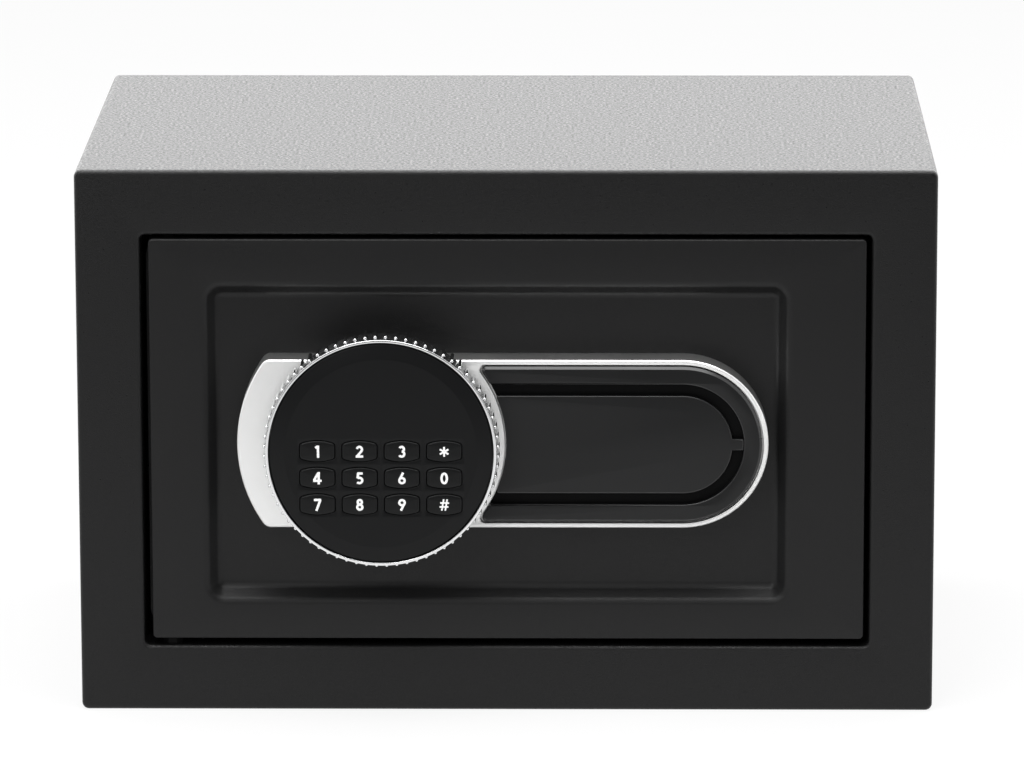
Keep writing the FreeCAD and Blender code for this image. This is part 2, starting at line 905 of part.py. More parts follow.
def make_handle_base():
    """Cast base behind the ring, with a pocket for the inlay."""
    body = new_body("handle_base")
    front_pad(body, S.base_front, base_back - S.base_front, draw_base)
    corners = edges_of(body, both(is_along(1), lambda edge: edge.BoundBox.XMax < ring_x))
    fillet(body, corners, S.base_corner)
    chamfer(body, edges_of(body, at_depth(S.base_front)), S.base_chamfer)

    def draw_pocket(drawing):
        draw_inlay(drawing, S.inlay_half_height + S.fit_gap, S.inlay_left_radius - S.fit_gap)
    front_pocket(body, S.base_front, S.inlay_pocket, draw_pocket)

    def draw_through(drawing):
        circle(drawing, ring_x, ring_z, bush_outer + S.running_gap)
        circle(drawing, lock_x, ring_z, S.lock_radius + S.running_gap)
    front_pocket(body, S.base_front, base_back - S.base_front, draw_through)

    def draw_threads(drawing):
        for side in base_screw_sides:
            many_sided(drawing, side, ring_z, S.screw_radius, FEW_SIDES)
    front_pocket(body, base_back - S.screw_reach, S.screw_reach, draw_threads)

    def draw_peg_holes(drawing):
        draw_pegs(drawing, S.peg_radius + S.fit_gap)
    front_pocket(body, inlay_back, S.peg_length, draw_peg_holes)
    keep(body, "handle_base")


def make_handle_inlay():
    """Black plate with a channel round the key cover."""
    body = new_body("handle_inlay")

    def draw_plate(drawing):
        draw_inlay(drawing, S.inlay_half_height, S.inlay_left_radius)
    front_pad(body, inlay_front, inlay_back - inlay_front, draw_plate)
    corners = edges_of(body, both(is_along(1), lambda edge: edge.BoundBox.XMax < lock_x))
    fillet(body, corners, S.inlay_corner)
    chamfer(body, edges_of(body, at_depth(inlay_front)), S.inlay_bevel)

    def draw_channel(drawing):
        draw_inlay(drawing, S.groove_outer, S.inlay_left_radius - S.inlay_corner - S.inlay_bevel)
    front_pocket(body, inlay_front, inlay_floor - inlay_front, draw_channel)

    def draw_holes(drawing):
        circle(drawing, lock_x, ring_z, S.lock_radius + S.running_gap)
        draw_pegs(drawing, S.peg_radius + S.fit_gap)
    front_pocket(body, inlay_floor, S.groove_floor, draw_holes)
    keep(body, "handle_inlay")


def make_key_cover():
    """Pull-off pad over the emergency lock, with a lifting tab across the channel and two pegs."""
    body = new_body("key_cover")
    half = S.groove_outer - S.groove_width
    thickness = inlay_floor - inlay_front - S.cover_gap

    def draw_pad(drawing):
        draw_inlay(drawing, half, S.inlay_left_radius)
    front_pad(body, inlay_front, thickness, draw_pad)

    def draw_tab(drawing):
        rectangle(drawing, base_end_x, ring_z - S.tab_height / 2,
                  base_end_x + S.groove_outer - S.fit_gap, ring_z + S.tab_height / 2)
    front_pad(body, inlay_front, thickness, draw_tab)
    chamfer(body, edges_of(body, at_depth(inlay_front)), S.small_chamfer)

    def draw_cover_pegs(drawing):
        draw_pegs(drawing, S.peg_radius)
    front_pad(body, inlay_front + thickness, S.peg_length, draw_cover_pegs)
    keep(body, "key_cover")


# Grip ring and its drive

ring_back = S.base_front - S.ring_gap
web_front = ring_back - S.ring_web
cam_back = S.cam_depth + S.cam_thickness
arm_length = S.throw / (sine(S.ring_turn / 2) * 2)


def make_grip_ring():
    """Ribbed drum, turned with its web and hub, whose ribs run along it all round."""
    body = new_body("grip_ring", ring_x, ring_z)
    bore = S.stem_radius + S.running_gap
    inner = S.ring_radius - S.ring_wall
    turned(body, [(bore, web_front), (inner, web_front), (inner, S.ring_front),
                  (S.ring_radius, S.ring_front), (S.ring_radius, ring_back),
                  (S.hub_radius, ring_back), (S.hub_radius, S.hub_end), (bore, S.hub_end)])

    nose = S.ring_front + S.rib_start
    root = S.ring_radius - S.rib_root
    crest = S.ring_radius + S.rib_rise

    def draw_rib(drawing):
        outline(drawing, [(root, -S.rib_foot), (crest, -S.rib_crest),
                          (crest, S.rib_crest), (root, S.rib_foot)])
    rib = front_pad(body, nose, ring_back - S.rib_stop - nose, draw_rib)

    ribs = body.newObject("PartDesign::PolarPattern", "grip_ribs")
    ribs.Originals = [rib]
    axis = next(item for item in body.Origin.OriginFeatures if item.Role == "Y_Axis")
    ribs.Axis = (axis, [""])
    ribs.Angle = 360
    bind(ribs, "Occurrences", S.rib_count)
    body.Tip = ribs
    doc.recompute()
    keep(body, "grip_ring")


def make_ring_bush():
    """Bush through the base and the door, in which the ring's hub turns."""
    body = new_body("ring_bush", ring_x, ring_z)
    tube(body, S.hub_radius + S.running_gap, bush_outer, S.base_front, backplate_back)
    keep(body, "ring_bush")


def pin_place(turn):
    """The drive pin's centre beside the ring's axis, for an angle turned from straight down."""
    return arm_length * sine(turn), -arm_length * cosine(turn)


def make_drive_cam():
    """Crank on the ring's hub whose pin moves the bolt carriage."""
    body = new_body("drive_cam", ring_x, ring_z)
    side, height = pin_place(-S.ring_turn / 2)

    def draw_hub(drawing):
        many_sided(drawing, ZERO, ZERO, S.cam_hub_radius, MORE_SIDES)
    front_pad(body, S.cam_depth, S.cam_thickness, draw_hub)

    def draw_arm(drawing):
        many_sided(drawing, side, height, S.cam_arm_radius, FEW_SIDES)
    front_pad(body, S.cam_depth, S.cam_thickness, draw_arm)

    def draw_bore(drawing):
        circle(drawing, ZERO, ZERO, S.hub_radius)
    front_pocket(body, S.cam_depth, S.cam_thickness, draw_bore)

    def draw_pin(drawing):
        circle(drawing, side, height, S.cam_pin_radius)
    pin_back = S.carriage_depth + S.carriage_sheet + S.cam_pin_proud
    front_pad(body, cam_back, pin_back - cam_back, draw_pin)
    keep(body, "drive_cam")


def make_retaining_clip():
    """Open clip pressed on the hub to hold the crank on."""
    body = new_body("retaining_clip", ring_x, ring_z)

    def draw_clip(drawing):
        many_sided(drawing, ZERO, ZERO, S.clip_radius, MORE_SIDES)
        circle(drawing, ZERO, ZERO, S.hub_radius)
    front_pad(body, cam_back + S.running_gap, S.clip_thickness, draw_clip)

    def draw_gap(drawing):
        rectangle(drawing, -S.clip_opening / 2, ZERO, S.clip_opening / 2, S.clip_radius)
    front_pocket(body, cam_back + S.running_gap, S.clip_thickness, draw_gap)
    keep(body, "retaining_clip")


# Keypad head, which stands still inside the ring

head_radius = S.ring_radius - S.ring_wall - S.head_gap
face_edge = S.ring_front + S.face_recess
face_front = face_edge - S.face_rise
face_back = face_edge + S.face_thickness
key_front = face_front - S.key_rise
flange_front = face_back + S.running_gap
mat_front = flange_front + S.key_flange_thickness + S.key_travel + S.running_gap
keypad_board_front = mat_front + S.mat_sheet
keypad_board_back = keypad_board_front + S.keypad_board
head_back_face = web_front - S.web_gap
head_floor = head_back_face - S.head_back
KEY_NAMES = (("1", "2", "3", "star"), ("4", "5", "6", "0"), ("7", "8", "9", "hash"))


def key_places():
    """The name and the centre of each key, counted from the ring's axis."""
    for row, names in enumerate(KEY_NAMES):
        for column, name in enumerate(names):
            yield (name, (column - 1.5) * S.key_pitch_across, S.key_middle_row + (1 - row) * S.key_pitch_down)


def draw_key(drawing, x, z, grow):
    """A key's barrel outline, grown all round: straight sides and cut corners, with the top and bottom
    bowed in three runs whose inner corners lie a third of the way out, on the bow's curve."""
    across, half = S.key_width / 2 + grow, S.key_height / 2 + grow
    low = half - S.key_bow
    third, crest = across / 3, half - S.key_bow / 9
    quarter = [(across, low - S.key_corner), (across - S.key_corner, low), (third, crest)]
    corners = [(x + side, z + height) for side, height in quarter]
    corners += [(x - side, z + height) for side, height in reversed(quarter)]
    corners += [(x - side, z - height) for side, height in quarter]
    corners += [(x + side, z - height) for side, height in reversed(quarter)]
    outline(drawing, corners)


def draw_cavity(drawing, gap):
    """The keypad head's hollow behind the keys, less a gap all round."""
    margin = S.key_gap + S.key_flange + S.fit_gap - gap
    across = S.key_pitch_across * 3 / 2 + S.key_width / 2 + margin
    reach = S.key_pitch_down - S.key_middle_row + S.key_height / 2 + margin
    rectangle(drawing, -across, -reach, across, reach)


def make_keypad_housing():
    """Cup behind the keys with the stem that carries it through the ring's hub."""
    body = new_body("keypad_housing", ring_x, ring_z)
    turned(body, [(S.stem_bore, face_back), (head_radius, face_back), (head_radius, head_back_face),
                  (S.stem_radius, head_back_face), (S.stem_radius, S.stem_end), (S.stem_bore, S.stem_end)])

    def draw_hollow(drawing):
        draw_cavity(drawing, ZERO)
    front_pocket(body, face_back, head_floor - face_back, draw_hollow)

    def draw_bosses(drawing):
        across = S.key_pitch_across * 3 / 2
        reach = S.key_pitch_down - S.key_middle_row
        for x in (-across, across):
            for z in (-reach, reach):
                half = S.boss_half_width
                rectangle(drawing, x - half, z - half, x + half, z + half)
    front_pad(body, keypad_board_back, head_floor - keypad_board_back, draw_bosses)
    keep(body, "keypad_housing")


def make_keypad_face():
    """Face plate with a bevelled border and an opening for each key."""
    body = new_body("keypad_face", ring_x, ring_z)
    turned(body, [(ZERO, face_front), (head_radius - S.face_bevel, face_front), (head_radius, face_edge),
                  (head_radius, face_back), (ZERO, face_back)])

    def draw_openings(drawing):
        for name, x, z in key_places():
            draw_key(drawing, x, z, S.key_gap)
    front_pocket(body, face_front, face_back - face_front, draw_openings)
    keep(body, "keypad_face")


def make_key(name, x, z):
    """One key: a crowned cap through the face and a flange that stops it behind."""
    body = new_body(f"key_{name}", ring_x, ring_z)

    def draw_cap(drawing):
        draw_key(drawing, x, z, ZERO)
    front_pad(body, key_front, flange_front - key_front, draw_cap)
    chamfer(body, edges_of(body, at_depth(key_front)), S.key_crown)

    def draw_flange(drawing):
        across = S.key_width / 2 + S.key_gap + S.key_flange
        reach = S.key_height / 2 + S.key_gap + S.key_flange
        rectangle(drawing, x - across, z - reach, x + across, z + reach)
    front_pad(body, flange_front, S.key_flange_thickness, draw_flange)
    keep(body, f"key_{name}")


def make_keypad_layers():
    """Rubber sheet under the keys and the circuit board under it."""
    for name, front, thickness in (("key_mat", mat_front, S.mat_sheet),
                                   ("keypad_board", keypad_board_front, S.keypad_board)):
        body = new_body(name, ring_x, ring_z)

        def draw(drawing):
            draw_cavity(drawing, S.fit_gap)
        front_pad(body, front, thickness, draw)
        keep(body, name)


# Bolt work behind the door

carriage_back = S.carriage_depth + S.carriage_sheet
flange_x = door_right - S.flange_inset
bolt_end = door_right - S.bolt_end_gap
guide_x = door_right - S.guide_inset
post_x = ring_x + S.post_reach
bridge_top = ring_z + S.bridge_rise
bridge_bottom = ring_z - S.bridge_drop
bolt_heights = (("upper", ring_z + S.bolt_spacing / 2), ("lower", ring_z - S.bolt_spacing / 2))
post_heights = (ring_z - S.post_spacing / 2, ring_z + S.post_spacing / 2)


def make_bolt_carriage():
    """Sliding plate with a fork for the crank's pin, guide slots, a blocking tooth and a bolt flange."""
    body = new_body("bolt_carriage")
    arm_top = ring_z - S.arm_drop
    arm_bottom = arm_top - S.arm_height
    arm_left = ring_x - S.arm_left_reach
    arm_right = ring_x + S.arm_right_reach
    plate_top = ring_z + S.plate_rise
    tooth_foot = arm_bottom - S.tooth_height
    tooth_left = ring_x + S.tooth_reach
    tooth_right = tooth_left + S.tooth_width

    def draw_plate(drawing):
        outline(drawing, [(arm_left, arm_bottom), (tooth_left, arm_bottom),
                          (tooth_left, tooth_foot), (tooth_right, tooth_foot),
                          (tooth_right, arm_bottom), (flange_x, arm_bottom),
                          (flange_x, plate_top), (arm_right, plate_top),
                          (arm_right, arm_top), (arm_left, arm_top)])
    front_pad(body, S.carriage_depth, S.carriage_sheet, draw_plate)

    half = S.bolt_spacing / 2 + S.flange_reach

    def draw_flange(drawing):
        rectangle(drawing, flange_x, ring_z - half, flange_x + S.carriage_sheet, ring_z + half)
    front_pad(body, S.flange_front, S.flange_back - S.flange_front, draw_flange)

    pin_side, pin_height = pin_place(-S.ring_turn / 2)
    reach = S.cam_pin_radius + S.slot_gap

    def draw_cuts(drawing):
        rectangle(drawing, ring_x + pin_side - reach, ring_z - arm_length - reach,
                  ring_x + pin_side + reach, arm_top + S.slot_gap)
        margin = S.lock_radius + S.window_margin
        rectangle(drawing, lock_x - margin - S.throw, ring_z - margin, lock_x + margin, ring_z + margin)
        room = S.post_radius + S.post_gap
        for height in post_heights:
            rectangle(drawing, post_x - S.throw - room, height - room, post_x + room, height + room)
    front_pocket(body, S.carriage_depth, S.carriage_sheet, draw_cuts)
    keep(body, "bolt_carriage")


def make_bolts():
    """Two round bolts on the carriage's flange."""
    start = flange_x + S.carriage_sheet
    for name, height in bolt_heights:
        body = new_body(f"bolt_{name}")
        drawing = sketch(body, "YZ_Plane", start)
        many_sided(drawing, S.bolt_depth, height, S.bolt_radius, MANY_SIDES)
        pad(body, drawing, bolt_end - start)
        tip = edges_of(body, lambda edge: edge.BoundBox.XMin > float(bolt_end) - 1e-4)
        chamfer(body, tip, S.bolt_chamfer)
        keep(body, f"bolt_{name}")


def make_bolt_guide():
    """Bracket at the door's free edge that the bolts slide in."""
    body = new_body("bolt_guide")
    bottom, top = ring_z - S.guide_half_height, ring_z + S.guide_half_height

    def draw_wall(drawing):
        rectangle(drawing, guide_x, bottom, guide_x + S.guide_sheet, top)
    front_pad(body, backplate_back, S.guide_back - backplate_back, draw_wall)

    def draw_foot(drawing):
        rectangle(drawing, guide_x - S.guide_foot, bottom, guide_x, top)
    front_pad(body, backplate_back, S.guide_foot_sheet, draw_foot)
    drawing = sketch(body, "YZ_Plane", guide_x + S.guide_sheet)
    for name, height in bolt_heights:
        many_sided(drawing, S.bolt_depth, height, S.bolt_radius + S.bolt_gap, MANY_SIDES)
    pocket(body, drawing, S.guide_sheet)
    keep(body, "bolt_guide")


def headed_pins(node, places, front, radius, head_front, head_radius, head_thickness):
    """A group of pins with heads at their back ends, each a solid of its own."""
    group = []
    for number, (x, z) in enumerate(places, start=1):
        body = new_body(f"{node}_{number}", x, z)
        shank, head = (front, head_front - front, radius), (head_front, head_thickness, head_radius)
        for start, length, size in (shank, head):
            drawing = front_sketch(body, start + length)
            many_sided(drawing, ZERO, ZERO, size, FEW_SIDES)
            pad(body, drawing, length)
        group.append(body)
    compound = doc.addObject("Part::Compound", node)
    compound.Links = group
    keep(compound, node)


def make_guide_posts():
    """Shoulder screws that the carriage slides on."""
    head_front = carriage_back + S.post_gap
    headed_pins("guide_posts", [(post_x, height) for height in post_heights],
                backplate_back, S.post_radius, head_front, S.post_head, S.post_head_thickness)


def bridge_foot_heights():
    """The middle of the bridge's lower and upper foot."""
    return bridge_bottom - S.bridge_foot / 2, bridge_top + S.bridge_foot / 2


def make_stem_bridge():
    """Strap over the crank that holds the keypad's stem to the door, and the nut on the stem."""
    body = new_body("stem_bridge")
    left, right = ring_x - S.bridge_half_width, ring_x + S.bridge_half_width

    def draw_strap(drawing):
        rectangle(drawing, left, bridge_bottom, right, bridge_top)
    front_pad(body, S.bridge_depth, S.bridge_sheet, draw_strap)

    legs = ((bridge_bottom, bridge_bottom + S.bridge_sheet), (bridge_top - S.bridge_sheet, bridge_top))
    feet = ((bridge_bottom - S.bridge_foot, bridge_bottom), (bridge_top, bridge_top + S.bridge_foot))
    for spans, thickness in ((legs, S.bridge_depth - backplate_back), (feet, S.bridge_sheet)):
        for low, high in spans:
            def draw_span(drawing):
                rectangle(drawing, left, low, right, high)
            front_pad(body, backplate_back, thickness, draw_span)

    def draw_holes(drawing):
        circle(drawing, ring_x, ring_z, S.stem_radius + S.running_gap)
    front_pocket(body, S.bridge_depth, S.bridge_sheet, draw_holes)

    def draw_screw_holes(drawing):
        for height in bridge_foot_heights():
            many_sided(drawing, ring_x, height, S.small_screw_radius, FEW_SIDES)
    front_pocket(body, backplate_back, S.bridge_sheet, draw_screw_holes)
    keep(body, "stem_bridge")
    make_nut("stem_nut", ring_x, S.bridge_depth + S.bridge_sheet, S.stem_nut_radius,
             S.stem_nut_height, S.stem_radius)


def make_nut(node, x, front, corner_radius, height, bore):
    """A six-sided nut on the line of the ring's height."""
    body = new_body(node, x, ring_z)

    def draw(drawing):
        points = []
        for turn in range(0, 360, 60):
            angle = math.radians(turn)
            points.append((corner_radius * math.cos(angle), corner_radius * math.sin(angle)))
        outline(drawing, points)
        circle(drawing, ZERO, ZERO, bore)
    front_pad(body, front, height, draw)
    keep(body, node)


# Solenoid

def make_solenoid():
    """Coil housing with a plunger that rises beside the carriage's tooth."""
    body = new_body("solenoid")
    middle = ring_x + S.solenoid_reach
    half = S.solenoid_width / 2
    top = ring_z - S.solenoid_drop
    drawing = sketch(body, "XY_Plane", top)
    rectangle(drawing, middle - half, backplate_back, middle + half, S.solenoid_depth * 2 - backplate_back)
    pad(body, drawing, S.solenoid_height, reverse=True)
    plunger_foot = ring_z - S.plunger_drop - S.plunger_length
    drawing = sketch(body, "XY_Plane", top)
    circle(drawing, middle, S.solenoid_depth, S.plunger_radius + S.running_gap)
    pocket(body, drawing, top - plunger_foot + S.running_gap)
    keep(body, "solenoid")

    body = new_body("solenoid_plunger")
    drawing = sketch(body, "XY_Plane", plunger_foot)
    circle(drawing, middle, S.solenoid_depth, S.plunger_radius)
    pad(body, drawing, S.plunger_length)
    drawing = sketch(body, "XY_Plane", top + S.slot_gap)
    many_sided(drawing, middle, S.solenoid_depth, S.plunger_collar, FEW_SIDES)
    pad(body, drawing, S.plunger_collar_thickness)
    keep(body, "solenoid_plunger")


# Emergency lock

def make_emergency_lock():
    """Lock barrel under the key cover, its nut, its turning plug and the plug's cam."""
    body = new_body("lock_barrel", lock_x, ring_z)
    tube(body, S.lock_bore + S.running_gap, S.lock_radius, inlay_floor, S.lock_back)
    keep(body, "lock_barrel")
    make_nut("lock_nut", lock_x, backplate_back, S.lock_nut_radius, S.lock_nut_height, S.lock_radius)

    body = new_body("lock_plug", lock_x, ring_z)
    tail = S.lock_tail_radius
    cam_front = S.lock_back + S.running_gap
    plug_back = cam_front + S.lock_cam_thickness + S.lock_tail
    turned(body, [(ZERO, inlay_floor), (S.lock_bore, inlay_floor), (S.lock_bore, S.lock_back),
                  (tail, S.lock_back), (tail, plug_back), (ZERO, plug_back)])

    def draw_keyway(drawing):
        rectangle(drawing, -S.keyway_width / 2, -S.keyway_height / 2, S.keyway_width / 2, S.keyway_height / 2)
    front_pocket(body, inlay_floor, S.keyway_depth, draw_keyway)
    keep(body, "lock_plug")

    body = new_body("lock_cam", lock_x, ring_z)
    half = S.lock_cam_width / 2

    def draw_cam(drawing):
        cut_rectangle(drawing, -half, -half, half, S.lock_cam_reach, S.lock_cam_cut)
        circle(drawing, ZERO, ZERO, tail)
    front_pad(body, cam_front, S.lock_cam_thickness, draw_cam)
    keep(body, "lock_cam")


# Inner cover, batteries and electronics

case_inner_back = S.case_back - S.case_wall
cell_spacing = S.cell_radius * 2 + S.fit_gap
holder_length = (S.cell_length + S.cell_spring) * 2 + S.holder_wall * 2
holder_height = cell_spacing * 2 + S.fit_gap + S.holder_wall * 2
holder_front = case_inner_back - S.cell_radius * 2 - S.fit_gap * 2 - S.holder_wall
holder_left = case_left + S.holder_inset
holder_bottom = case_top - S.holder_top_gap - holder_height
battery_window = (holder_left + S.holder_wall, holder_bottom + S.holder_wall,
                  holder_left + holder_length - S.holder_wall,
                  holder_bottom + holder_height - S.holder_wall)
reset_x = case_left + S.reset_inset
reset_z = case_bottom + S.reset_lift


def make_inner_cover():
    """Box over the bolt work, open towards the door, with a window for the batteries."""
    body = new_body("inner_cover")
    wall = S.case_wall

    def draw_box(drawing):
        cut_rectangle(drawing, case_left, case_bottom, case_right, case_top, S.case_corner)
    front_pad(body, backplate_back, S.case_back - backplate_back, draw_box)
    chamfer(body, edges_of(body, at_depth(S.case_back)), S.case_wall / 2)

    def draw_hollow(drawing):
        cut_rectangle(drawing, case_left + wall, case_bottom + wall, case_right - wall,
                      case_top - wall, S.case_corner - wall / 2)
    front_pocket(body, backplate_back, case_inner_back - backplate_back, draw_hollow)

    def draw_back_openings(drawing):
        rectangle(drawing, *battery_window)
        circle(drawing, reset_x, reset_z, S.reset_radius + S.screw_gap)
        for side, height in case_post_places():
            many_sided(drawing, side, height, S.small_screw_radius + S.screw_gap, FEW_SIDES)
    front_pocket(body, case_inner_back, wall, draw_back_openings)

    drawing = sketch(body, "YZ_Plane", case_right)
    for name, height in bolt_heights:
        many_sided(drawing, S.bolt_depth, height, S.bolt_radius + S.case_bolt_gap, MANY_SIDES)
    pocket(body, drawing, wall)
    keep(body, "inner_cover")


def make_batteries():
    """Tray for four cells behind the inner cover's window, the cells, and the battery cover."""
    left, bottom = holder_left, holder_bottom
    body = new_body("battery_holder")

    def draw_tray(drawing):
        rectangle(drawing, left, bottom, left + holder_length, bottom + holder_height)
    front_pad(body, holder_front, case_inner_back - holder_front, draw_tray)

    def draw_hollow(drawing):
        rectangle(drawing, *battery_window)
    floor = holder_front + S.holder_wall
    front_pocket(body, floor, case_inner_back - floor, draw_hollow)
    keep(body, "battery_holder")

    cells = []
    cell_depth = holder_front + S.holder_wall + S.fit_gap / 2 + S.cell_radius
    for row in range(2):
        for column in range(2):
            body = new_body(f"cell_{row}{column}")
            start = left + S.holder_wall + S.cell_spring / 2 + column * (S.cell_length + S.cell_spring)
            height = bottom + S.holder_wall + S.fit_gap + S.cell_radius + row * cell_spacing
            drawing = sketch(body, "YZ_Plane", start)
            many_sided(drawing, cell_depth, height, S.cell_radius, MORE_SIDES)
            pad(body, drawing, S.cell_length - S.cell_tip)
            drawing = sketch(body, "YZ_Plane", start + S.cell_length - S.cell_tip)
            many_sided(drawing, cell_depth, height, S.cell_tip_radius, FEW_SIDES)
            pad(body, drawing, S.cell_tip)
            cells.append(body)
    compound = doc.addObject("Part::Compound", "battery_cells")
    compound.Links = cells
    keep(compound, "battery_cells")

    body = new_body("battery_cover")
    window_left, window_bottom, window_right, window_top = battery_window
    margin = S.cover_margin

    def draw_cover(drawing):
        cut_rectangle(drawing, window_left - margin, window_bottom - margin,
                      window_right + margin, window_top + margin, margin)
    front_pad(body, S.case_back + S.cover_gap, S.cover_thickness, draw_cover)
    back = S.case_back + S.cover_gap + S.cover_thickness
    chamfer(body, edges_of(body, at_depth(back)), S.cover_bevel)
    keep(body, "battery_cover")


def make_main_board():
    """Control board on four stand-offs, with its larger components."""
    body = new_body("main_board")
    left, bottom = case_left + S.board_inset, case_bottom + S.board_rise
    right, top = left + S.board_width, bottom + S.board_height

    def draw_board(drawing):
        rectangle(drawing, left, bottom, right, top)
    front_pad(body, S.board_depth, S.board_sheet, draw_board)

    def draw_standoffs(drawing):
        post = S.board_post
        for x in (left + post, right - post):
            for z in (bottom + post, top - post):
                rectangle(drawing, x - post / 2, z - post / 2, x + post / 2, z + post / 2)
    front_pad(body, backplate_back, S.board_depth - backplate_back, draw_standoffs)

    def draw_parts(drawing):
        middle, half = left + S.board_width / 2, S.chip_width / 2
        for rise, height in ((S.chip_rise, S.chip_height), (S.relay_rise, S.relay_height)):
            rectangle(drawing, middle - half, bottom + rise, middle + half, bottom + rise + height)
        many_sided(drawing, middle, bottom + S.coil_rise, S.coil_radius, MORE_SIDES)
    front_pad(body, S.board_depth + S.board_sheet, S.component_thickness, draw_parts)
    keep(body, "main_board")


def make_reset():
    """Reset switch on the inner cover and the button that stands out of it."""
    body = new_body("reset_switch")
    half = S.reset_body / 2
    button_front = case_inner_back - S.reset_body + S.reset_travel + S.cover_thickness

    def draw_housing(drawing):
        rectangle(drawing, reset_x - half, reset_z - half, reset_x + half, reset_z + half)
    front_pad(body, case_inner_back - S.reset_body, S.reset_body, draw_housing)

    def draw_bore(drawing):
        circle(drawing, reset_x, reset_z, S.reset_radius + S.running_gap)
    front_pocket(body, button_front - S.reset_travel - S.fit_gap,
                 case_inner_back - button_front + S.reset_travel + S.fit_gap, draw_bore)
    keep(body, "reset_switch")

    body = new_body("reset_button", reset_x, reset_z)

    def draw_button(drawing):
        circle(drawing, ZERO, ZERO, S.reset_radius)
    front_pad(body, button_front, S.case_back + S.reset_rise - button_front, draw_button)
    chamfer(body, edges_of(body, at_depth(S.case_back + S.reset_rise)), S.small_chamfer)
    keep(body, "reset_button")


def make_screws():
    """Screws of the handle base, the stem bridge and the inner cover."""
    thickness = S.screw_head_thickness
    headed_pins("base_screws", [(side, ring_z) for side in base_screw_sides],
                base_back - S.screw_reach, S.screw_radius, backplate_back, S.screw_head, thickness)
    foot_back = backplate_back + S.bridge_sheet
    headed_pins("bridge_screws", [(ring_x, height) for height in bridge_foot_heights()],
                backplate_back, S.small_screw_radius, foot_back, S.small_screw_head, thickness)
    headed_pins("cover_screws", case_post_places(), case_inner_back - S.small_screw_reach,
                S.small_screw_radius, S.case_back, S.small_screw_head, thickness)


def check_document():
    """Stop if any object failed or any piece has no sound shape."""
    doc.recompute()
    for item in doc.Objects:
        if "Invalid" in item.State or "Error" in item.State:
            raise RuntimeError(f"{item.Label} failed: {item.State}")
    for piece in pieces:
        shape = piece.Shape
        if shape.isNull() or not shape.isValid() or not shape.Solids:
            raise RuntimeError(f"{piece.Label} has no valid solid")


def export_pieces():
    """Write each piece to a file of its own."""
    os.makedirs("parts", exist_ok=True)
    for piece in pieces:
        piece.Shape.exportStep(f"parts/{piece.Label}.step")
        print(piece.Label, len(piece.Shape.Solids), round(piece.Shape.Volume, 1))


make_cabinet_shell()
make_base_tray()
make_back_panel()
make_front_frame()
make_floor_mat()
make_hinge()
make_door_skin()
make_door_backplate()
make_handle_base()
make_handle_inlay()
make_key_cover()
make_grip_ring()
make_ring_bush()
make_drive_cam()
make_retaining_clip()
make_keypad_housing()
make_keypad_face()
for key_name, key_x, key_z in key_places():
    make_key(key_name, key_x, key_z)
make_keypad_layers()
make_bolt_carriage()
make_bolts()
make_bolt_guide()
make_guide_posts()
make_stem_bridge()
make_solenoid()
make_emergency_lock()
make_inner_cover()
make_batteries()
make_main_board()
make_reset()
make_screws()
check_document()
export_pieces()
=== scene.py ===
import json
import logging
import math
from collections.abc import Sequence
from dataclasses import dataclass, field, replace
from enum import Enum

import bmesh
import bpy
import numpy as np
from mathutils import Matrix, Vector
from mathutils.geometry import tessellate_polygon
from numpy.typing import NDArray


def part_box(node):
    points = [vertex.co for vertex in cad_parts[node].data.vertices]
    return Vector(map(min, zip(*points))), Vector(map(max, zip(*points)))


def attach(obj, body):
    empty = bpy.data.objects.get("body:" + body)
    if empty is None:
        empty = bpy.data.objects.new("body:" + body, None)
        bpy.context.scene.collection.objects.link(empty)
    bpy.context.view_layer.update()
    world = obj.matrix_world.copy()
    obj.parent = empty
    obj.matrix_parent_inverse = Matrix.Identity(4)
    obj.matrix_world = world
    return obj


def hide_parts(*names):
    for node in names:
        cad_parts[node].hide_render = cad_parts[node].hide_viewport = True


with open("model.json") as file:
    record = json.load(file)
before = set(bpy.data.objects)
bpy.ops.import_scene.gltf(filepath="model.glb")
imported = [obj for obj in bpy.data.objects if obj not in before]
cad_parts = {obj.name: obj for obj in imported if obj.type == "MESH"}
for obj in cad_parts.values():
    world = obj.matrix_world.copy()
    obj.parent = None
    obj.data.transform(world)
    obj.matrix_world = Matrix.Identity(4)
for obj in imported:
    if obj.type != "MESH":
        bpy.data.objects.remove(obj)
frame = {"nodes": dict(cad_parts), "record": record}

# Shapes are worked out in millimetres as side, depth and height. Depth counts back from the
# cabinet's front face, so what stands in front of the face has a negative depth.

Points = NDArray[np.float64]
Colour = tuple[float, float, float]

MM = 0.001
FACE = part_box("front_frame")[0].y
SAME = 1e-5
RING_AXIS = (-44.6, 101.0)
LOCK_AXIS = (36.0, 101.0)
BUSH_HOLE = 11.1
LOCK_HOLE = 9.55
PEG_SIDES = (6.0, 66.0)
PEG_HOLE = 1.75

log = logging.getLogger("safe")


# Outlines and profiles

@dataclass(frozen=True)
class Arc:
    """Part of a circle seen from the front, anticlockwise where its end is larger than its start."""

    side: float
    height: float
    radius: float
    start: float
    end: float
    bevel: float = 1.0


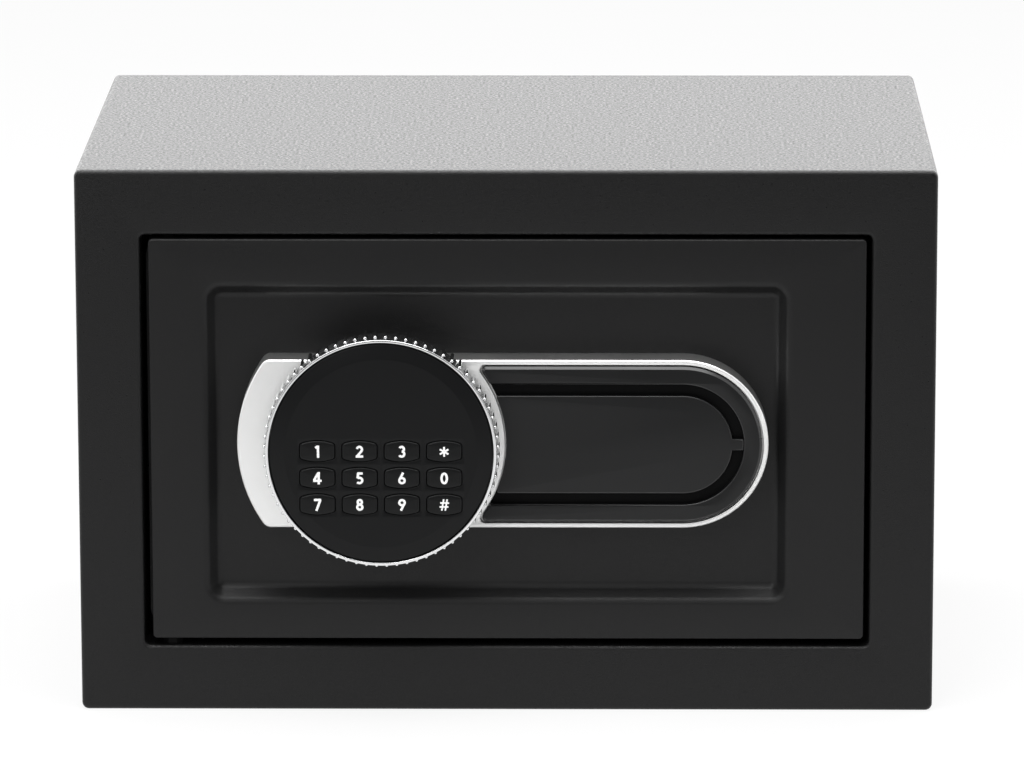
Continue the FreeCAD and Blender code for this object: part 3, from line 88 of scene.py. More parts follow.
@dataclass(frozen=True)
class Outline:
    """A closed line seen from the front: arcs, with straight runs from each to the next."""

    arcs: tuple[Arc, ...]
    steps: int = 6

    def trace(self, outset: float = 0.0) -> Points:
        """The line's points, moved outwards.

        Each point is its arc's centre plus the radius times the cosine and sine of an angle. The
        outset, times the arc's share of the bevel, lengthens the radius of an arc that bulges out
        and shortens that of one that bends in.

        Args:
            outset: how far the line moves out, in millimetres.

        Returns:
            One row of side and height for each point.
        """
        shares = np.linspace(0.0, 1.0, self.steps + 1)
        runs = []
        for arc in self.arcs:
            turn = np.radians(arc.start + (arc.end - arc.start) * shares)
            way = 1.0 if arc.end >= arc.start else -1.0
            radius = max(arc.radius + way * outset * arc.bevel, 0.0)
            runs.append(np.column_stack((arc.side + radius * np.cos(turn),
                                         arc.height + radius * np.sin(turn))))
        return np.concatenate(runs)


def panel(left: float, bottom: float, right: float, top: float, corner: float, steps: int = 6) -> Outline:
    """A rectangle with round corners.

    Args:
        left: lowest side.
        bottom: lowest height.
        right: highest side.
        top: highest height.
        corner: radius of the corners.
        steps: faces round each corner.

    Returns:
        The outline, anticlockwise from its lower right corner.
    """
    return Outline((Arc(right - corner, bottom + corner, corner, -90, 0),
                    Arc(right - corner, top - corner, corner, 0, 90),
                    Arc(left + corner, top - corner, corner, 90, 180),
                    Arc(left + corner, bottom + corner, corner, 180, 270)), steps)


def circle(side: float, height: float, radius: float, steps: int = 48) -> Points:
    """A circle seen from the front, as even points on it."""
    turn = np.arange(steps) * 2.0 * np.pi / steps
    return np.column_stack((side + radius * np.cos(turn), height + radius * np.sin(turn)))


def rounded(corners: Sequence[tuple[float, float]], radii: Sequence[float], steps: int = 3) -> Points:
    """An open line whose inner corners are rounded.

    At each corner the arc touches both legs. Its centre lies on the line that halves the angle,
    at the radius over the sine of half the angle, and its points turn evenly from one touching
    point to the other.

    Args:
        corners: the line's corners.
        radii: one radius for each inner corner.
        steps: faces round each corner.

    Returns:
        One row for each point of the rounded line.
    """
    line = np.asarray(corners, float)
    here, before, after = line[1:-1], line[:-2], line[2:]
    back = (before - here) / np.linalg.norm(before - here, axis=1, keepdims=True)
    ahead = (after - here) / np.linalg.norm(after - here, axis=1, keepdims=True)
    half = np.arccos(np.clip((back * ahead).sum(1), -1.0, 1.0)) / 2.0
    radius = np.maximum(np.asarray(radii, float), 1e-4)
    middle = back + ahead
    middle /= np.linalg.norm(middle, axis=1, keepdims=True)
    centre = here + middle * (radius / np.sin(half))[:, None]
    first = here + back * (radius / np.tan(half))[:, None] - centre
    last = here + ahead * (radius / np.tan(half))[:, None] - centre
    sweep = (np.pi - 2.0 * half)[:, None, None]
    share = np.linspace(0.0, 1.0, steps + 1)[None, :, None]
    arcs = (np.sin((1.0 - share) * sweep) * first[:, None] + np.sin(share * sweep) * last[:, None]) / np.sin(sweep)
    arcs += centre[:, None]
    return np.concatenate((line[:1], arcs.reshape(-1, 2), line[-1:]))


def level(points: Points, depth: float | Points) -> Points:
    """Points of an outline set at a depth, or each at its own."""
    depths = np.broadcast_to(np.asarray(depth, float), points.shape[:1])
    return np.column_stack((points[:, 0], depths, points[:, 1]))


def carried(outline: Outline, profile: Sequence[tuple[float, float]] | Points) -> Points:
    """A profile carried round an outline: each of its rows gives how far the outline moves out and its depth.

    Args:
        outline: the path.
        profile: rows of outset and depth, from the back round to the front's middle.

    Returns:
        Rings of points, one for each row of the profile.
    """
    return np.stack([level(outline.trace(outset), depth) for outset, depth in profile])


def turned(profile: Points, side: float, height: float, steps: int) -> Points:
    """A profile of radius and depth turned about a line that runs from front to back.

    Args:
        profile: rows of radius and depth.
        side: the axis's side.
        height: the axis's height.
        steps: faces round the axis.

    Returns:
        Rings of points, one for each row of the profile.
    """
    turn = np.arange(steps) * 2.0 * np.pi / steps
    radius, depth = np.asarray(profile, float).T
    return np.stack(np.broadcast_arrays(side + radius[:, None] * np.cos(turn), depth[:, None],
                                        height + radius[:, None] * np.sin(turn)), axis=-1)


def rolled(profile: Points, depth: float, height: float, steps: int) -> Points:
    """A profile of radius and side turned about a line that runs from side to side.

    Args:
        profile: rows of radius and side.
        depth: the axis's depth.
        height: the axis's height.
        steps: faces round the axis.

    Returns:
        Rings of points, one for each row of the profile.
    """
    return turned(profile, depth, height, steps)[..., (1, 0, 2)]


def box_of(node: str) -> tuple[Points, Points]:
    """The two corners of a solid's box, as side, depth and height in millimetres."""
    low, high = (np.array(corner) / MM - np.array((0.0, FACE / MM, 0.0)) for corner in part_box(node))
    return low, high


# Meshes

@dataclass
class Skin:
    """The surfaces of one piece, gathered before they become a mesh."""

    corners: list[Points] = field(default_factory=list)
    faces: list[list[int]] = field(default_factory=list)
    count: int = 0

    def add(self, rings: Points, around: bool = True, lengthwise: bool = False,
            first_cap: bool = False, last_cap: bool = False) -> "Skin":
        """Adds a grid of faces between rings of points, and faces that fill its ends.

        Args:
            rings: rows of points, each a ring or a line.
            around: whether each ring's last point joins its first.
            lengthwise: whether the last ring joins the first.
            first_cap: whether one face fills the first ring.
            last_cap: whether one face fills the last ring.

        Returns:
            The skin itself.
        """
        rows, columns = rings.shape[:2]
        index = self.count + np.arange(rows * columns).reshape(rows, columns)
        across = np.concatenate((index, index[:, :1]), axis=1) if around else index
        whole = np.concatenate((across, across[:1]), axis=0) if lengthwise else across
        quads = np.stack((whole[:-1, :-1], whole[:-1, 1:], whole[1:, 1:], whole[1:, :-1]), axis=-1)
        self.faces += quads.reshape(-1, 4).tolist()
        if first_cap:
            self.faces.append(index[0, ::-1].tolist())
        if last_cap:
            self.faces.append(index[-1].tolist())
        self.corners.append(rings.reshape(-1, 3))
        self.count += rows * columns
        return self

    def fill(self, borders: Sequence[Points], depth: float) -> "Skin":
        """Adds a flat face at a depth: the first border is its outside, the others are holes in it."""
        apart = [border[np.abs(border - np.roll(border, 1, axis=0)).max(axis=1) > SAME] for border in borders]
        fill = np.array(tessellate_polygon([level(border, 0.0)[:, (0, 2, 1)].tolist() for border in apart]))
        self.faces += (fill + self.count).tolist()
        self.corners.append(level(np.concatenate(apart), depth))
        self.count += sum(map(len, apart))
        return self

    def bore(self, hole: Points, start: float, end: float) -> "Skin":
        """Adds the wall of a straight hole from one depth to another."""
        return self.add(np.stack((level(hole, start), level(hole, end))))

    def piece(self, name: str, body: str, slot: str, material: bpy.types.Material,
              stands_for: Sequence[str] = (), soften: float = 0.0) -> bpy.types.Object:
        """Makes the mesh and places it on its body.

        Args:
            name: the piece's name.
            body: the body that it rides on.
            slot: the record's material slot; not used.
            material: its finish.
            stands_for: the solids that it replaces.
            soften: width of a bevel on its sharp edges, in millimetres.

        Returns:
            The new object.
        """
        mesh = bpy.data.meshes.new(name)
        place = np.concatenate(self.corners) * MM + np.array((0.0, FACE, 0.0))
        mesh.from_pydata(place.tolist(), [], self.faces)
        work = bmesh.new()
        work.from_mesh(mesh)
        bmesh.ops.remove_doubles(work, verts=work.verts, dist=2e-6)
        bmesh.ops.dissolve_degenerate(work, edges=work.edges, dist=1e-7)
        bmesh.ops.recalc_face_normals(work, faces=work.faces)
        work.to_mesh(mesh)
        work.free()
        mesh.shade_smooth()
        mesh.set_sharp_from_angle(angle=math.radians(32))
        mesh.materials.append(material)
        made = bpy.data.objects.new(name, mesh)
        bpy.context.scene.collection.objects.link(made)
        if soften:
            bevel = made.modifiers.new("soft_edges", "BEVEL")
            bevel.width = soften * MM
            bevel.segments = 2
            bevel.limit_method = "ANGLE"
            bevel.angle_limit = math.radians(40)
            bevel.harden_normals = True
        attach(made, body)
        if stands_for:
            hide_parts(*stands_for)
        return made


# Finishes

class Kind(Enum):
    """What flows through a socket of a node group."""

    VECTOR = "NodeSocketVector"
    VALUE = "NodeSocketFloat"
    COLOUR = "NodeSocketColor"


class Relief(Enum):
    """The fine relief of a surface."""

    POWDER = "powder"
    MOULDED = "moulded"
    CAST = "cast"
    BRUSHED = "brushed"
    FELT = "felt"
    SMOOTH = "smooth"


class Group:
    """A shader node group under construction."""

    def __init__(self, name: str) -> None:
        """Starts an empty group.

        Args:
            name: the group's name.
        """
        self.tree = bpy.data.node_groups.new(name, "ShaderNodeTree")
        self.entry = self.tree.nodes.new("NodeGroupInput")
        self.exit = self.tree.nodes.new("NodeGroupOutput")

    def takes(self, name: str, kind: Kind, default: float | Sequence[float] | None = None) -> None:
        """Adds an input.

        Args:
            name: its name.
            kind: what flows through it.
            default: its value where nothing is linked.
        """
        socket = self.tree.interface.new_socket(name, in_out="INPUT", socket_type=kind.value)
        if default is not None:
            socket.default_value = default

    def gives(self, name: str, kind: Kind, source: bpy.types.NodeSocket) -> None:
        """Adds an output and links it to its source.

        Args:
            name: its name.
            kind: what flows through it.
            source: the socket that feeds it.
        """
        self.tree.interface.new_socket(name, in_out="OUTPUT", socket_type=kind.value)
        self.tree.links.new(source, self.exit.inputs[name])

    def node(self, kind: str, inputs: dict[str, object] | None = None, **settings: object) -> bpy.types.Node:
        """Adds a node to the group."""
        return add_node(self.tree, kind, inputs, **settings)

    def source(self, name: str) -> bpy.types.NodeSocket:
        """The socket that brings an input into the group."""
        return self.entry.outputs[name]


def add_node(tree: bpy.types.NodeTree, kind: str, inputs: dict[str, object] | None = None,
             **settings: object) -> bpy.types.Node:
    """Adds a node, sets its properties and fills or links its inputs.

    Args:
        tree: the node tree.
        kind: the node's type.
        inputs: a value or a source socket for each named input, or for a numbered one.
        settings: the node's own properties.

    Returns:
        The node.
    """
    made = tree.nodes.new(kind)
    for name, value in settings.items():
        setattr(made, name, value)
    for name, value in (inputs or {}).items():
        socket = made.inputs[name]
        if isinstance(value, bpy.types.NodeSocket):
            tree.links.new(value, socket)
        else:
            socket.default_value = value
    return made


class Effects:
    """The node groups that the finishes share."""

    def __init__(self) -> None:
        """Builds each group once."""
        self.shade = self._shade()
        self.cloud = self._cloud()
        self.front = self._front()
        self.reliefs = {Relief.POWDER: self._powder(), Relief.MOULDED: self._moulded(),
                        Relief.CAST: self._cast(), Relief.BRUSHED: self._brushed(),
                        Relief.FELT: self._felt()}

    @staticmethod
    def _shade() -> bpy.types.NodeTree:
        """Colour that drifts between two tones: slow noise, plus a little fine noise, chooses the tone."""
        group = Group("tone_drift")
        group.takes("Place", Kind.VECTOR)
        group.takes("Scale", Kind.VALUE, 12.0)
        group.takes("Dark", Kind.COLOUR, (0.0, 0.0, 0.0, 1.0))
        group.takes("Light", Kind.COLOUR, (1.0, 1.0, 1.0, 1.0))
        slow = group.node("ShaderNodeTexNoise", {"Vector": group.source("Place"), "Scale": group.source("Scale"),
                                                 "Detail": 4.0, "Roughness": 0.6})
        mix = group.node("ShaderNodeMix", {"Factor": slow.outputs["Fac"], 6: group.source("Dark"),
                                           7: group.source("Light")}, data_type="RGBA")
        group.gives("Colour", Kind.COLOUR, mix.outputs[2])
        return group.tree

    @staticmethod
    def _cloud() -> bpy.types.NodeTree:
        """A value that wanders between two ends, as handling and coating thickness make it."""
        group = Group("slow_wander")
        group.takes("Place", Kind.VECTOR)
        group.takes("Scale", Kind.VALUE, 20.0)
        group.takes("Low", Kind.VALUE, 0.3)
        group.takes("High", Kind.VALUE, 0.5)
        noise = group.node("ShaderNodeTexNoise", {"Vector": group.source("Place"),
                                                  "Scale": group.source("Scale"), "Detail": 5.0})
        spread = group.node("ShaderNodeMapRange", {"Value": noise.outputs["Fac"], "From Min": 0.3,
                                                   "From Max": 0.7, "To Min": group.source("Low"),
                                                   "To Max": group.source("High")})
        group.gives("Value", Kind.VALUE, spread.outputs["Result"])
        return group.tree

    @staticmethod
    def _front() -> bpy.types.NodeTree:
        """One value where the object's own normal faces the front, and another on its walls."""
        group = Group("front_or_wall")
        group.takes("Normal", Kind.VECTOR)
        group.takes("Front", Kind.VALUE, 1.0)
        group.takes("Wall", Kind.VALUE, 1.0)
        parts = group.node("ShaderNodeSeparateXYZ", {"Vector": group.source("Normal")})
        choice = group.node("ShaderNodeMapRange", {"Value": parts.outputs["Y"], "From Min": -0.95,
                                                   "From Max": -0.6, "To Min": group.source("Front"),
                                                   "To Max": group.source("Wall")})
        group.gives("Value", Kind.VALUE, choice.outputs["Result"])
        return group.tree

    @staticmethod
    def _powder() -> bpy.types.NodeTree:
        """Powder coat: rounded blobs from cell distance, with finer noise on them."""
        group = Group("powder_coat")
        group.takes("Place", Kind.VECTOR)
        group.takes("Fineness", Kind.VALUE, 2000.0)
        blobs = group.node("ShaderNodeTexVoronoi", {"Vector": group.source("Place"),
                                                    "Scale": group.source("Fineness")})
        fine = group.node("ShaderNodeTexNoise", {"Vector": group.source("Place"),
                                                 "Scale": group.source("Fineness"), "Detail": 2.0})
        blend = group.node("ShaderNodeMath", {0: fine.outputs["Fac"], 1: blobs.outputs["Distance"]},
                           operation="SUBTRACT")
        group.gives("Height", Kind.VALUE, blend.outputs[0])
        return group.tree

    @staticmethod
    def _moulded() -> bpy.types.NodeTree:
        """Moulded plastic: the even fine noise of an eroded tool."""
        group = Group("moulded_grain")
        group.takes("Place", Kind.VECTOR)
        group.takes("Fineness", Kind.VALUE, 3000.0)
        noise = group.node("ShaderNodeTexNoise", {"Vector": group.source("Place"),
                                                  "Scale": group.source("Fineness"), "Detail": 3.0,
                                                  "Roughness": 0.7})
        group.gives("Height", Kind.VALUE, noise.outputs["Fac"])
        return group.tree

    @staticmethod
    def _cast() -> bpy.types.NodeTree:
        """Cast and plated metal: slow waves under fine pits."""
        group = Group("plated_casting")
        group.takes("Place", Kind.VECTOR)
        group.takes("Fineness", Kind.VALUE, 900.0)
        slow = group.node("ShaderNodeTexNoise", {"Vector": group.source("Place"), "Scale": 90.0, "Detail": 2.0})
        fine = group.node("ShaderNodeTexNoise", {"Vector": group.source("Place"),
                                                 "Scale": group.source("Fineness"), "Detail": 2.0})
        both = group.node("ShaderNodeMath", {0: slow.outputs["Fac"], 1: fine.outputs["Fac"]}, operation="ADD")
        group.gives("Height", Kind.VALUE, both.outputs[0])
        return group.tree

    @staticmethod
    def _brushed() -> bpy.types.NodeTree:
        """Brushed or ground metal: noise drawn out along the side direction."""
        group = Group("ground_metal")
        group.takes("Place", Kind.VECTOR)
        group.takes("Fineness", Kind.VALUE, 1500.0)
        drawn = group.node("ShaderNodeMapping", {"Vector": group.source("Place"), "Scale": (0.05, 1.0, 1.0)})
        noise = group.node("ShaderNodeTexNoise", {"Vector": drawn.outputs["Vector"],
                                                  "Scale": group.source("Fineness"), "Detail": 3.0})
        group.gives("Height", Kind.VALUE, noise.outputs["Fac"])
        return group.tree

    @staticmethod
    def _felt() -> bpy.types.NodeTree:
        """Felt: tangled short fibres from two crossed and drawn-out noises."""
        group = Group("felt_fibres")
        group.takes("Place", Kind.VECTOR)
        group.takes("Fineness", Kind.VALUE, 1200.0)
        layers = []
        for drawn in ((1.0, 0.2, 1.0), (0.2, 1.0, 1.0)):
            bent = group.node("ShaderNodeMapping", {"Vector": group.source("Place"), "Scale": drawn})
            layers.append(group.node("ShaderNodeTexNoise", {"Vector": bent.outputs["Vector"],
                                                            "Scale": group.source("Fineness"),
                                                            "Detail": 4.0, "Distortion": 1.5}))
        top = group.node("ShaderNodeMath", {0: layers[0].outputs["Fac"], 1: layers[1].outputs["Fac"]},
                         operation="MAXIMUM")
        group.gives("Height", Kind.VALUE, top.outputs[0])
        return group.tree


@dataclass(frozen=True)
class Finish:
    """A surface finish: two tones, a band of roughness and a fine relief."""

    name: str
    dark: Colour
    light: Colour
    roughness: tuple[float, float]
    relief: Relief = Relief.SMOOTH
    grain: float = 0.5
    height: float = 0.0
    metallic: float = 0.0
    metallic_front: float | None = None
    specular: float = 0.5
    coat: float = 0.0
    coat_roughness: float = 0.2
    sheen: float = 0.0
    tone_scale: float = 12.0
    wander_scale: float = 30.0

    def material(self, effects: Effects) -> bpy.types.Material:
        """Builds the finish's material.

        Args:
            effects: the shared node groups.

        Returns:
            The material.
        """
        made = bpy.data.materials.new(self.name)
        made.use_nodes = True
        tree = made.node_tree
        tree.nodes.clear()
        where = add_node(tree, "ShaderNodeTexCoord")
        place = where.outputs["Object"]
        tone = add_node(tree, "ShaderNodeGroup", node_tree=effects.shade)
        self._fill(tree, tone, {"Place": place, "Scale": self.tone_scale,
                                "Dark": (*self.dark, 1.0), "Light": (*self.light, 1.0)})
        wander = add_node(tree, "ShaderNodeGroup", node_tree=effects.cloud)
        self._fill(tree, wander, {"Place": place, "Scale": self.wander_scale,
                                  "Low": self.roughness[0], "High": self.roughness[1]})
        shader = add_node(tree, "ShaderNodeBsdfPrincipled",
                          {"Base Color": tone.outputs["Colour"], "Roughness": wander.outputs["Value"],
                           "Metallic": self.metallic, "Specular IOR Level": self.specular, "Coat Weight": self.coat,
                           "Coat Roughness": self.coat_roughness, "Sheen Weight": self.sheen})
        if self.metallic_front is not None:
            front = add_node(tree, "ShaderNodeGroup", node_tree=effects.front)
            self._fill(tree, front, {"Normal": where.outputs["Normal"], "Front": self.metallic_front,
                                     "Wall": self.metallic})
            tree.links.new(front.outputs["Value"], shader.inputs["Metallic"])
        if self.relief in effects.reliefs:
            grain = add_node(tree, "ShaderNodeGroup", node_tree=effects.reliefs[self.relief])
            self._fill(tree, grain, {"Place": place, "Fineness": 1.0 / (self.grain * MM)})
            bump = add_node(tree, "ShaderNodeBump", {"Height": grain.outputs["Height"],
                                                     "Distance": self.height * MM, "Strength": 1.0})
            tree.links.new(bump.outputs["Normal"], shader.inputs["Normal"])
        add_node(tree, "ShaderNodeOutputMaterial", {"Surface": shader.outputs["BSDF"]})
        return made

    @staticmethod
    def _fill(tree: bpy.types.NodeTree, node: bpy.types.Node, inputs: dict[str, object]) -> None:
        """Fills or links a group node's inputs.

        Args:
            tree: the material's node tree.
            node: the group node.
            inputs: a value or a source socket for each input.
        """
        for name, value in inputs.items():
            if isinstance(value, bpy.types.NodeSocket):
                tree.links.new(value, node.inputs[name])
            else:
                node.inputs[name].default_value = value


FINISHES = {
    "cabinet_paint": Finish("black_powder_coat", (0.0048, 0.0048, 0.005), (0.0062, 0.0062, 0.0064), (0.27, 0.58),
                            Relief.POWDER, grain=0.4, height=0.06, specular=0.3, wander_scale=950.0),
    "door_paint": Finish("door_powder_coat", (0.0048, 0.0048, 0.005), (0.0062, 0.0062, 0.0064), (0.36, 0.5),
                         Relief.POWDER, grain=0.4, height=0.03, specular=0.3, wander_scale=950.0),
    "felt": Finish("grey_felt", (0.03, 0.03, 0.032), (0.06, 0.06, 0.062), (0.9, 1.0), Relief.FELT,
                   grain=0.8, height=0.25, sheen=0.3),
    "zinc_steel": Finish("zinc_plated_steel", (0.50, 0.51, 0.53), (0.62, 0.62, 0.60), (0.28, 0.42),
                         Relief.BRUSHED, grain=0.5, height=0.004, metallic=1.0),
    "white_polymer": Finish("bearing_plastic", (0.012, 0.012, 0.012), (0.018, 0.018, 0.018), (0.4, 0.5),
                            Relief.MOULDED, grain=0.3, height=0.006),
    "satin_chrome": Finish("satin_silver", (0.79, 0.79, 0.785), (0.84, 0.84, 0.835), (0.30, 0.34),
                           Relief.CAST, grain=0.25, height=0.003, metallic=0.95, metallic_front=0.4),
    "bright_chrome": Finish("bright_chrome", (0.78, 0.785, 0.79), (0.84, 0.845, 0.85), (0.07, 0.13),
                            Relief.CAST, grain=0.8, height=0.002, metallic=1.0),
    # Darker copy of the bright chrome: painted shade on the ring's drum, between the ribs.
    "shade_darkened_chrome": Finish("shade_darkened_chrome", (0.46, 0.46, 0.465), (0.54, 0.54, 0.545), (0.2, 0.3),
                          Relief.CAST, grain=0.8, height=0.002, metallic=1.0),
    # Lighter, glossier copy of the black moulding: painted highlight along the insert's and the pad's edges.
    "highlight_edge_moulding": Finish("highlight_edge_moulding", (0.010, 0.010, 0.0105), (0.013, 0.013, 0.0135), (0.26, 0.32),
                            Relief.MOULDED, grain=0.22, height=0.002, specular=0.5),
    "black_moulding": Finish("black_moulding", (0.0055, 0.0057, 0.006), (0.007, 0.0072, 0.0075), (0.32, 0.38),
                             Relief.MOULDED, grain=0.22, height=0.005, specular=0.3),
    # Near-black, less glossy copy of the black moulding: painted shade, for the deep channel's floor and the hinge
    # parts seen in the door gap.
    "shade_darkened_plastic": Finish("shade_darkened_plastic", (0.0028, 0.0028, 0.003), (0.0034, 0.0034, 0.0036), (0.5, 0.6),
                              Relief.MOULDED, grain=0.3, height=0.01, specular=0.07),
    "keypad_plastic": Finish("keypad_plastic", (0.0045, 0.0047, 0.005), (0.006, 0.0062, 0.0065), (0.30, 0.36),
                             Relief.MOULDED, grain=0.2, height=0.004, specular=0.16),
    "key_plastic": Finish("key_plastic", (0.0042, 0.0045, 0.0047), (0.0056, 0.0058, 0.006), (0.28, 0.34),
                          Relief.MOULDED, grain=0.2, height=0.003, specular=0.18),
    "rubber": Finish("dark_rubber", (0.02, 0.02, 0.02), (0.03, 0.03, 0.03), (0.7, 0.8), Relief.MOULDED,
                     grain=0.4, height=0.01),
    "circuit_board": Finish("circuit_board", (0.012, 0.07, 0.03), (0.02, 0.10, 0.045), (0.3, 0.4),
                            Relief.CAST, grain=0.6, height=0.01),
    "polished_steel": Finish("ground_bolt_steel", (0.60, 0.60, 0.60), (0.70, 0.70, 0.69), (0.16, 0.26),
                             Relief.BRUSHED, grain=0.35, height=0.003, metallic=1.0),
    "coil_housing": Finish("coil_housing", (0.42, 0.43, 0.45), (0.52, 0.52, 0.52), (0.35, 0.45),
                           Relief.BRUSHED, grain=0.5, height=0.005, metallic=1.0),
    "brass": Finish("turned_brass", (0.60, 0.44, 0.20), (0.72, 0.54, 0.27), (0.2, 0.32), Relief.BRUSHED,
                    grain=0.3, height=0.003, metallic=1.0),
    "cover_plastic": Finish("inner_cover_plastic", (0.014, 0.0145, 0.015), (0.02, 0.0205, 0.021), (0.45, 0.55),
                            Relief.MOULDED, grain=0.6, height=0.03),
    "cell_jacket": Finish("cell_jacket", (0.10, 0.11, 0.12), (0.16, 0.17, 0.18), (0.3, 0.4), Relief.MOULDED,
                          grain=0.5, height=0.004),
    "red_plastic": Finish("red_button", (0.45, 0.02, 0.02), (0.55, 0.03, 0.025), (0.3, 0.4), Relief.MOULDED,
                          grain=0.3, height=0.005),
    "key_figures": Finish("white_key_ink", (0.86, 0.86, 0.86), (0.92, 0.92, 0.92), (0.45, 0.55),
                          Relief.MOULDED, grain=0.2, height=0.002),
}


# Solids whose finish is not the one that their slot names. The hinge pins and washer take the near-black plastic as
# painted shade in the door gap.
PAINTED_NODES = {"hinge_pin_upper": "shade_darkened_plastic", "hinge_pin_lower": "shade_darkened_plastic",
                 "hinge_washer": "shade_darkened_plastic", "hinge_bush_upper": "cabinet_paint",
                 "hinge_bush_lower": "cabinet_paint"}


class Palette:
    """The materials by the record's slots."""

    def __init__(self) -> None:
        """Builds every finish once."""
        effects = Effects()
        self.materials = {slot: finish.material(effects) for slot, finish in FINISHES.items()}

    def __getitem__(self, slot: str) -> bpy.types.Material:
        """The material of a slot."""
        return self.materials[slot]

    def dress_solids(self) -> None:
        """Gives every solid of the frame the finish of its slot, on the object and not on its mesh."""
        for part in frame["record"]["subparts"]:
            slot = PAINTED_NODES.get(part["node"], part["material_slot"])
            for holder in frame["nodes"][part["node"]].material_slots:
                holder.link = "OBJECT"
                holder.material = self[slot]


# Cabinet

@dataclass
class Cabinet:
    """Bent steel cabinet: wrapped top and sides, and a front face folded in round the doorway."""

    palette: Palette
    half_width: float = 155.0
    height: float = 200.0
    depth: float = 200.0
    sheet: float = 2.0
    bend: float = 2.5
    foot: float = 8.2
    doorway: tuple[float, float, float, float] = (-131.6, 24.2, 131.6, 176.4)
    doorway_corner: float = 2.0
    fold: float = 1.6
    lip: float = 15.0

    def build(self) -> None:
        """Builds the wrap and the front face."""
        self._wrap()
        self._face()

    def _wrap(self) -> None:
        """Top and sides: the sheet's end outline, run from just behind the face to the back."""
        side, top, inner = self.half_width, self.height, self.half_width - self.sheet
        near, high = side - self.bend, top - self.bend
        tight = self.bend - self.sheet
        outline = Outline((Arc(side, self.foot, 0.0, 0, 0), Arc(near, high, self.bend, 0, 90),
                           Arc(-near, high, self.bend, 90, 180), Arc(-side, self.foot, 0.0, 180, 180),
                           Arc(-inner, self.foot, 0.0, 180, 180), Arc(-near, high, tight, 180, 90),
                           Arc(near, high, tight, 90, 0), Arc(inner, self.foot, 0.0, 0, 0)), steps=8)
        rings = carried(outline, [(0.0, self.depth), (0.0, self.sheet)])
        Skin().add(rings, first_cap=True, last_cap=True).piece(
            "cabinet_wrap", "cabinet", "cabinet_paint", self.palette["cabinet_paint"], ["cabinet_shell"],
            soften=0.3)

    def _face(self) -> None:
        """Front face: rings from the outer fold across the face, in round the doorway's fold, and back along the lip."""
        outer = panel(-self.half_width, 0.0, self.half_width, self.height, self.bend)
        left, bottom, right, top = self.doorway
        doorway = panel(left, bottom, right, top, self.doorway_corner)
        rim = rounded([(0.0, self.sheet), (0.0, 0.0), (-3.0 * self.fold, 0.0)], [self.fold], steps=6)
        rings = [level(outer.trace(max(outset, -self.bend)), depth) for outset, depth in rim[:-1]]
        fold = rounded([(3.0 * self.fold, 0.0), (0.0, 0.0), (0.0, self.lip), (self.sheet, self.lip),
                        (self.sheet, self.sheet)], [self.fold, 0.3, 0.3], steps=6)
        rings += [level(doorway.trace(outset), depth) for outset, depth in fold[1:]]
        Skin().add(np.stack(rings), lengthwise=True).piece(
            "front_face", "cabinet", "cabinet_paint", self.palette["cabinet_paint"], ["front_frame"])


# Door

@dataclass
class Door:
    """Door front pressed from one sheet, with a dished field."""

    palette: Palette
    edges: tuple[float, float, float, float] = (-128.7, 26.8, 129.7, 175.0)
    corner: float = 1.6
    edge_radius: float = 0.8
    depth: float = 12.0
    sheet: float = 2.0
    dish: tuple[float, float, float, float] = (-108.5, 41.3, 101.8, 158.0)
    dish_depth: float = 6.0
    dish_slope: float = 4.0
    dish_corner: float = 6.0
    rim_radius: float = 3.4
    floor_radius: float = 3.2

    def build(self) -> None:
        """Builds the door front as one closed sheet."""
        self._front()

    def _front(self) -> None:
        """Outer skin from the folded sides over the border and down the dish, then its inner side back again."""
        door = panel(*self.edges, self.corner)
        dish = panel(*self.dish, self.dish_corner)
        holes = [circle(*RING_AXIS, BUSH_HOLE), circle(*LOCK_AXIS, LOCK_HOLE)]
        wall = self.sheet
        border = rounded([(0.0, self.depth), (0.0, 0.0), (-4.0, 0.0)], [self.edge_radius], steps=4)[:-1]
        rings = [level(door.trace(outset), depth) for outset, depth in border]
        slope = rounded([(5.0, 0.0), (0.0, 0.0), (-self.dish_slope, self.dish_depth),
                         (-self.dish_slope - 5.0, self.dish_depth)], [self.rim_radius, self.floor_radius], steps=5)
        rings += [level(dish.trace(outset), depth) for outset, depth in slope[1:-1]]
        skin = Skin().add(np.stack(rings)).fill([dish.trace(slope[-2, 0]), *holes], self.dish_depth)
        left, bottom, right, top = self.edges
        inner = panel(left + wall, bottom + wall, right - wall, top - wall, 0.4)
        under = [level(door.trace(), self.depth), level(inner.trace(), self.depth), level(inner.trace(), wall)]
        floor = dish.trace(-self.dish_slope)
        under += [level(dish.trace(wall / 2), wall), level(floor, self.dish_depth + wall)]
        skin.add(np.stack(under[::-1])).fill([floor, *holes], self.dish_depth + wall)
        for hole in holes:
            skin.bore(hole, self.dish_depth, self.dish_depth + wall)
        skin.piece("door_front", "door", "door_paint", self.palette["door_paint"], ["door_skin"])


# Handle

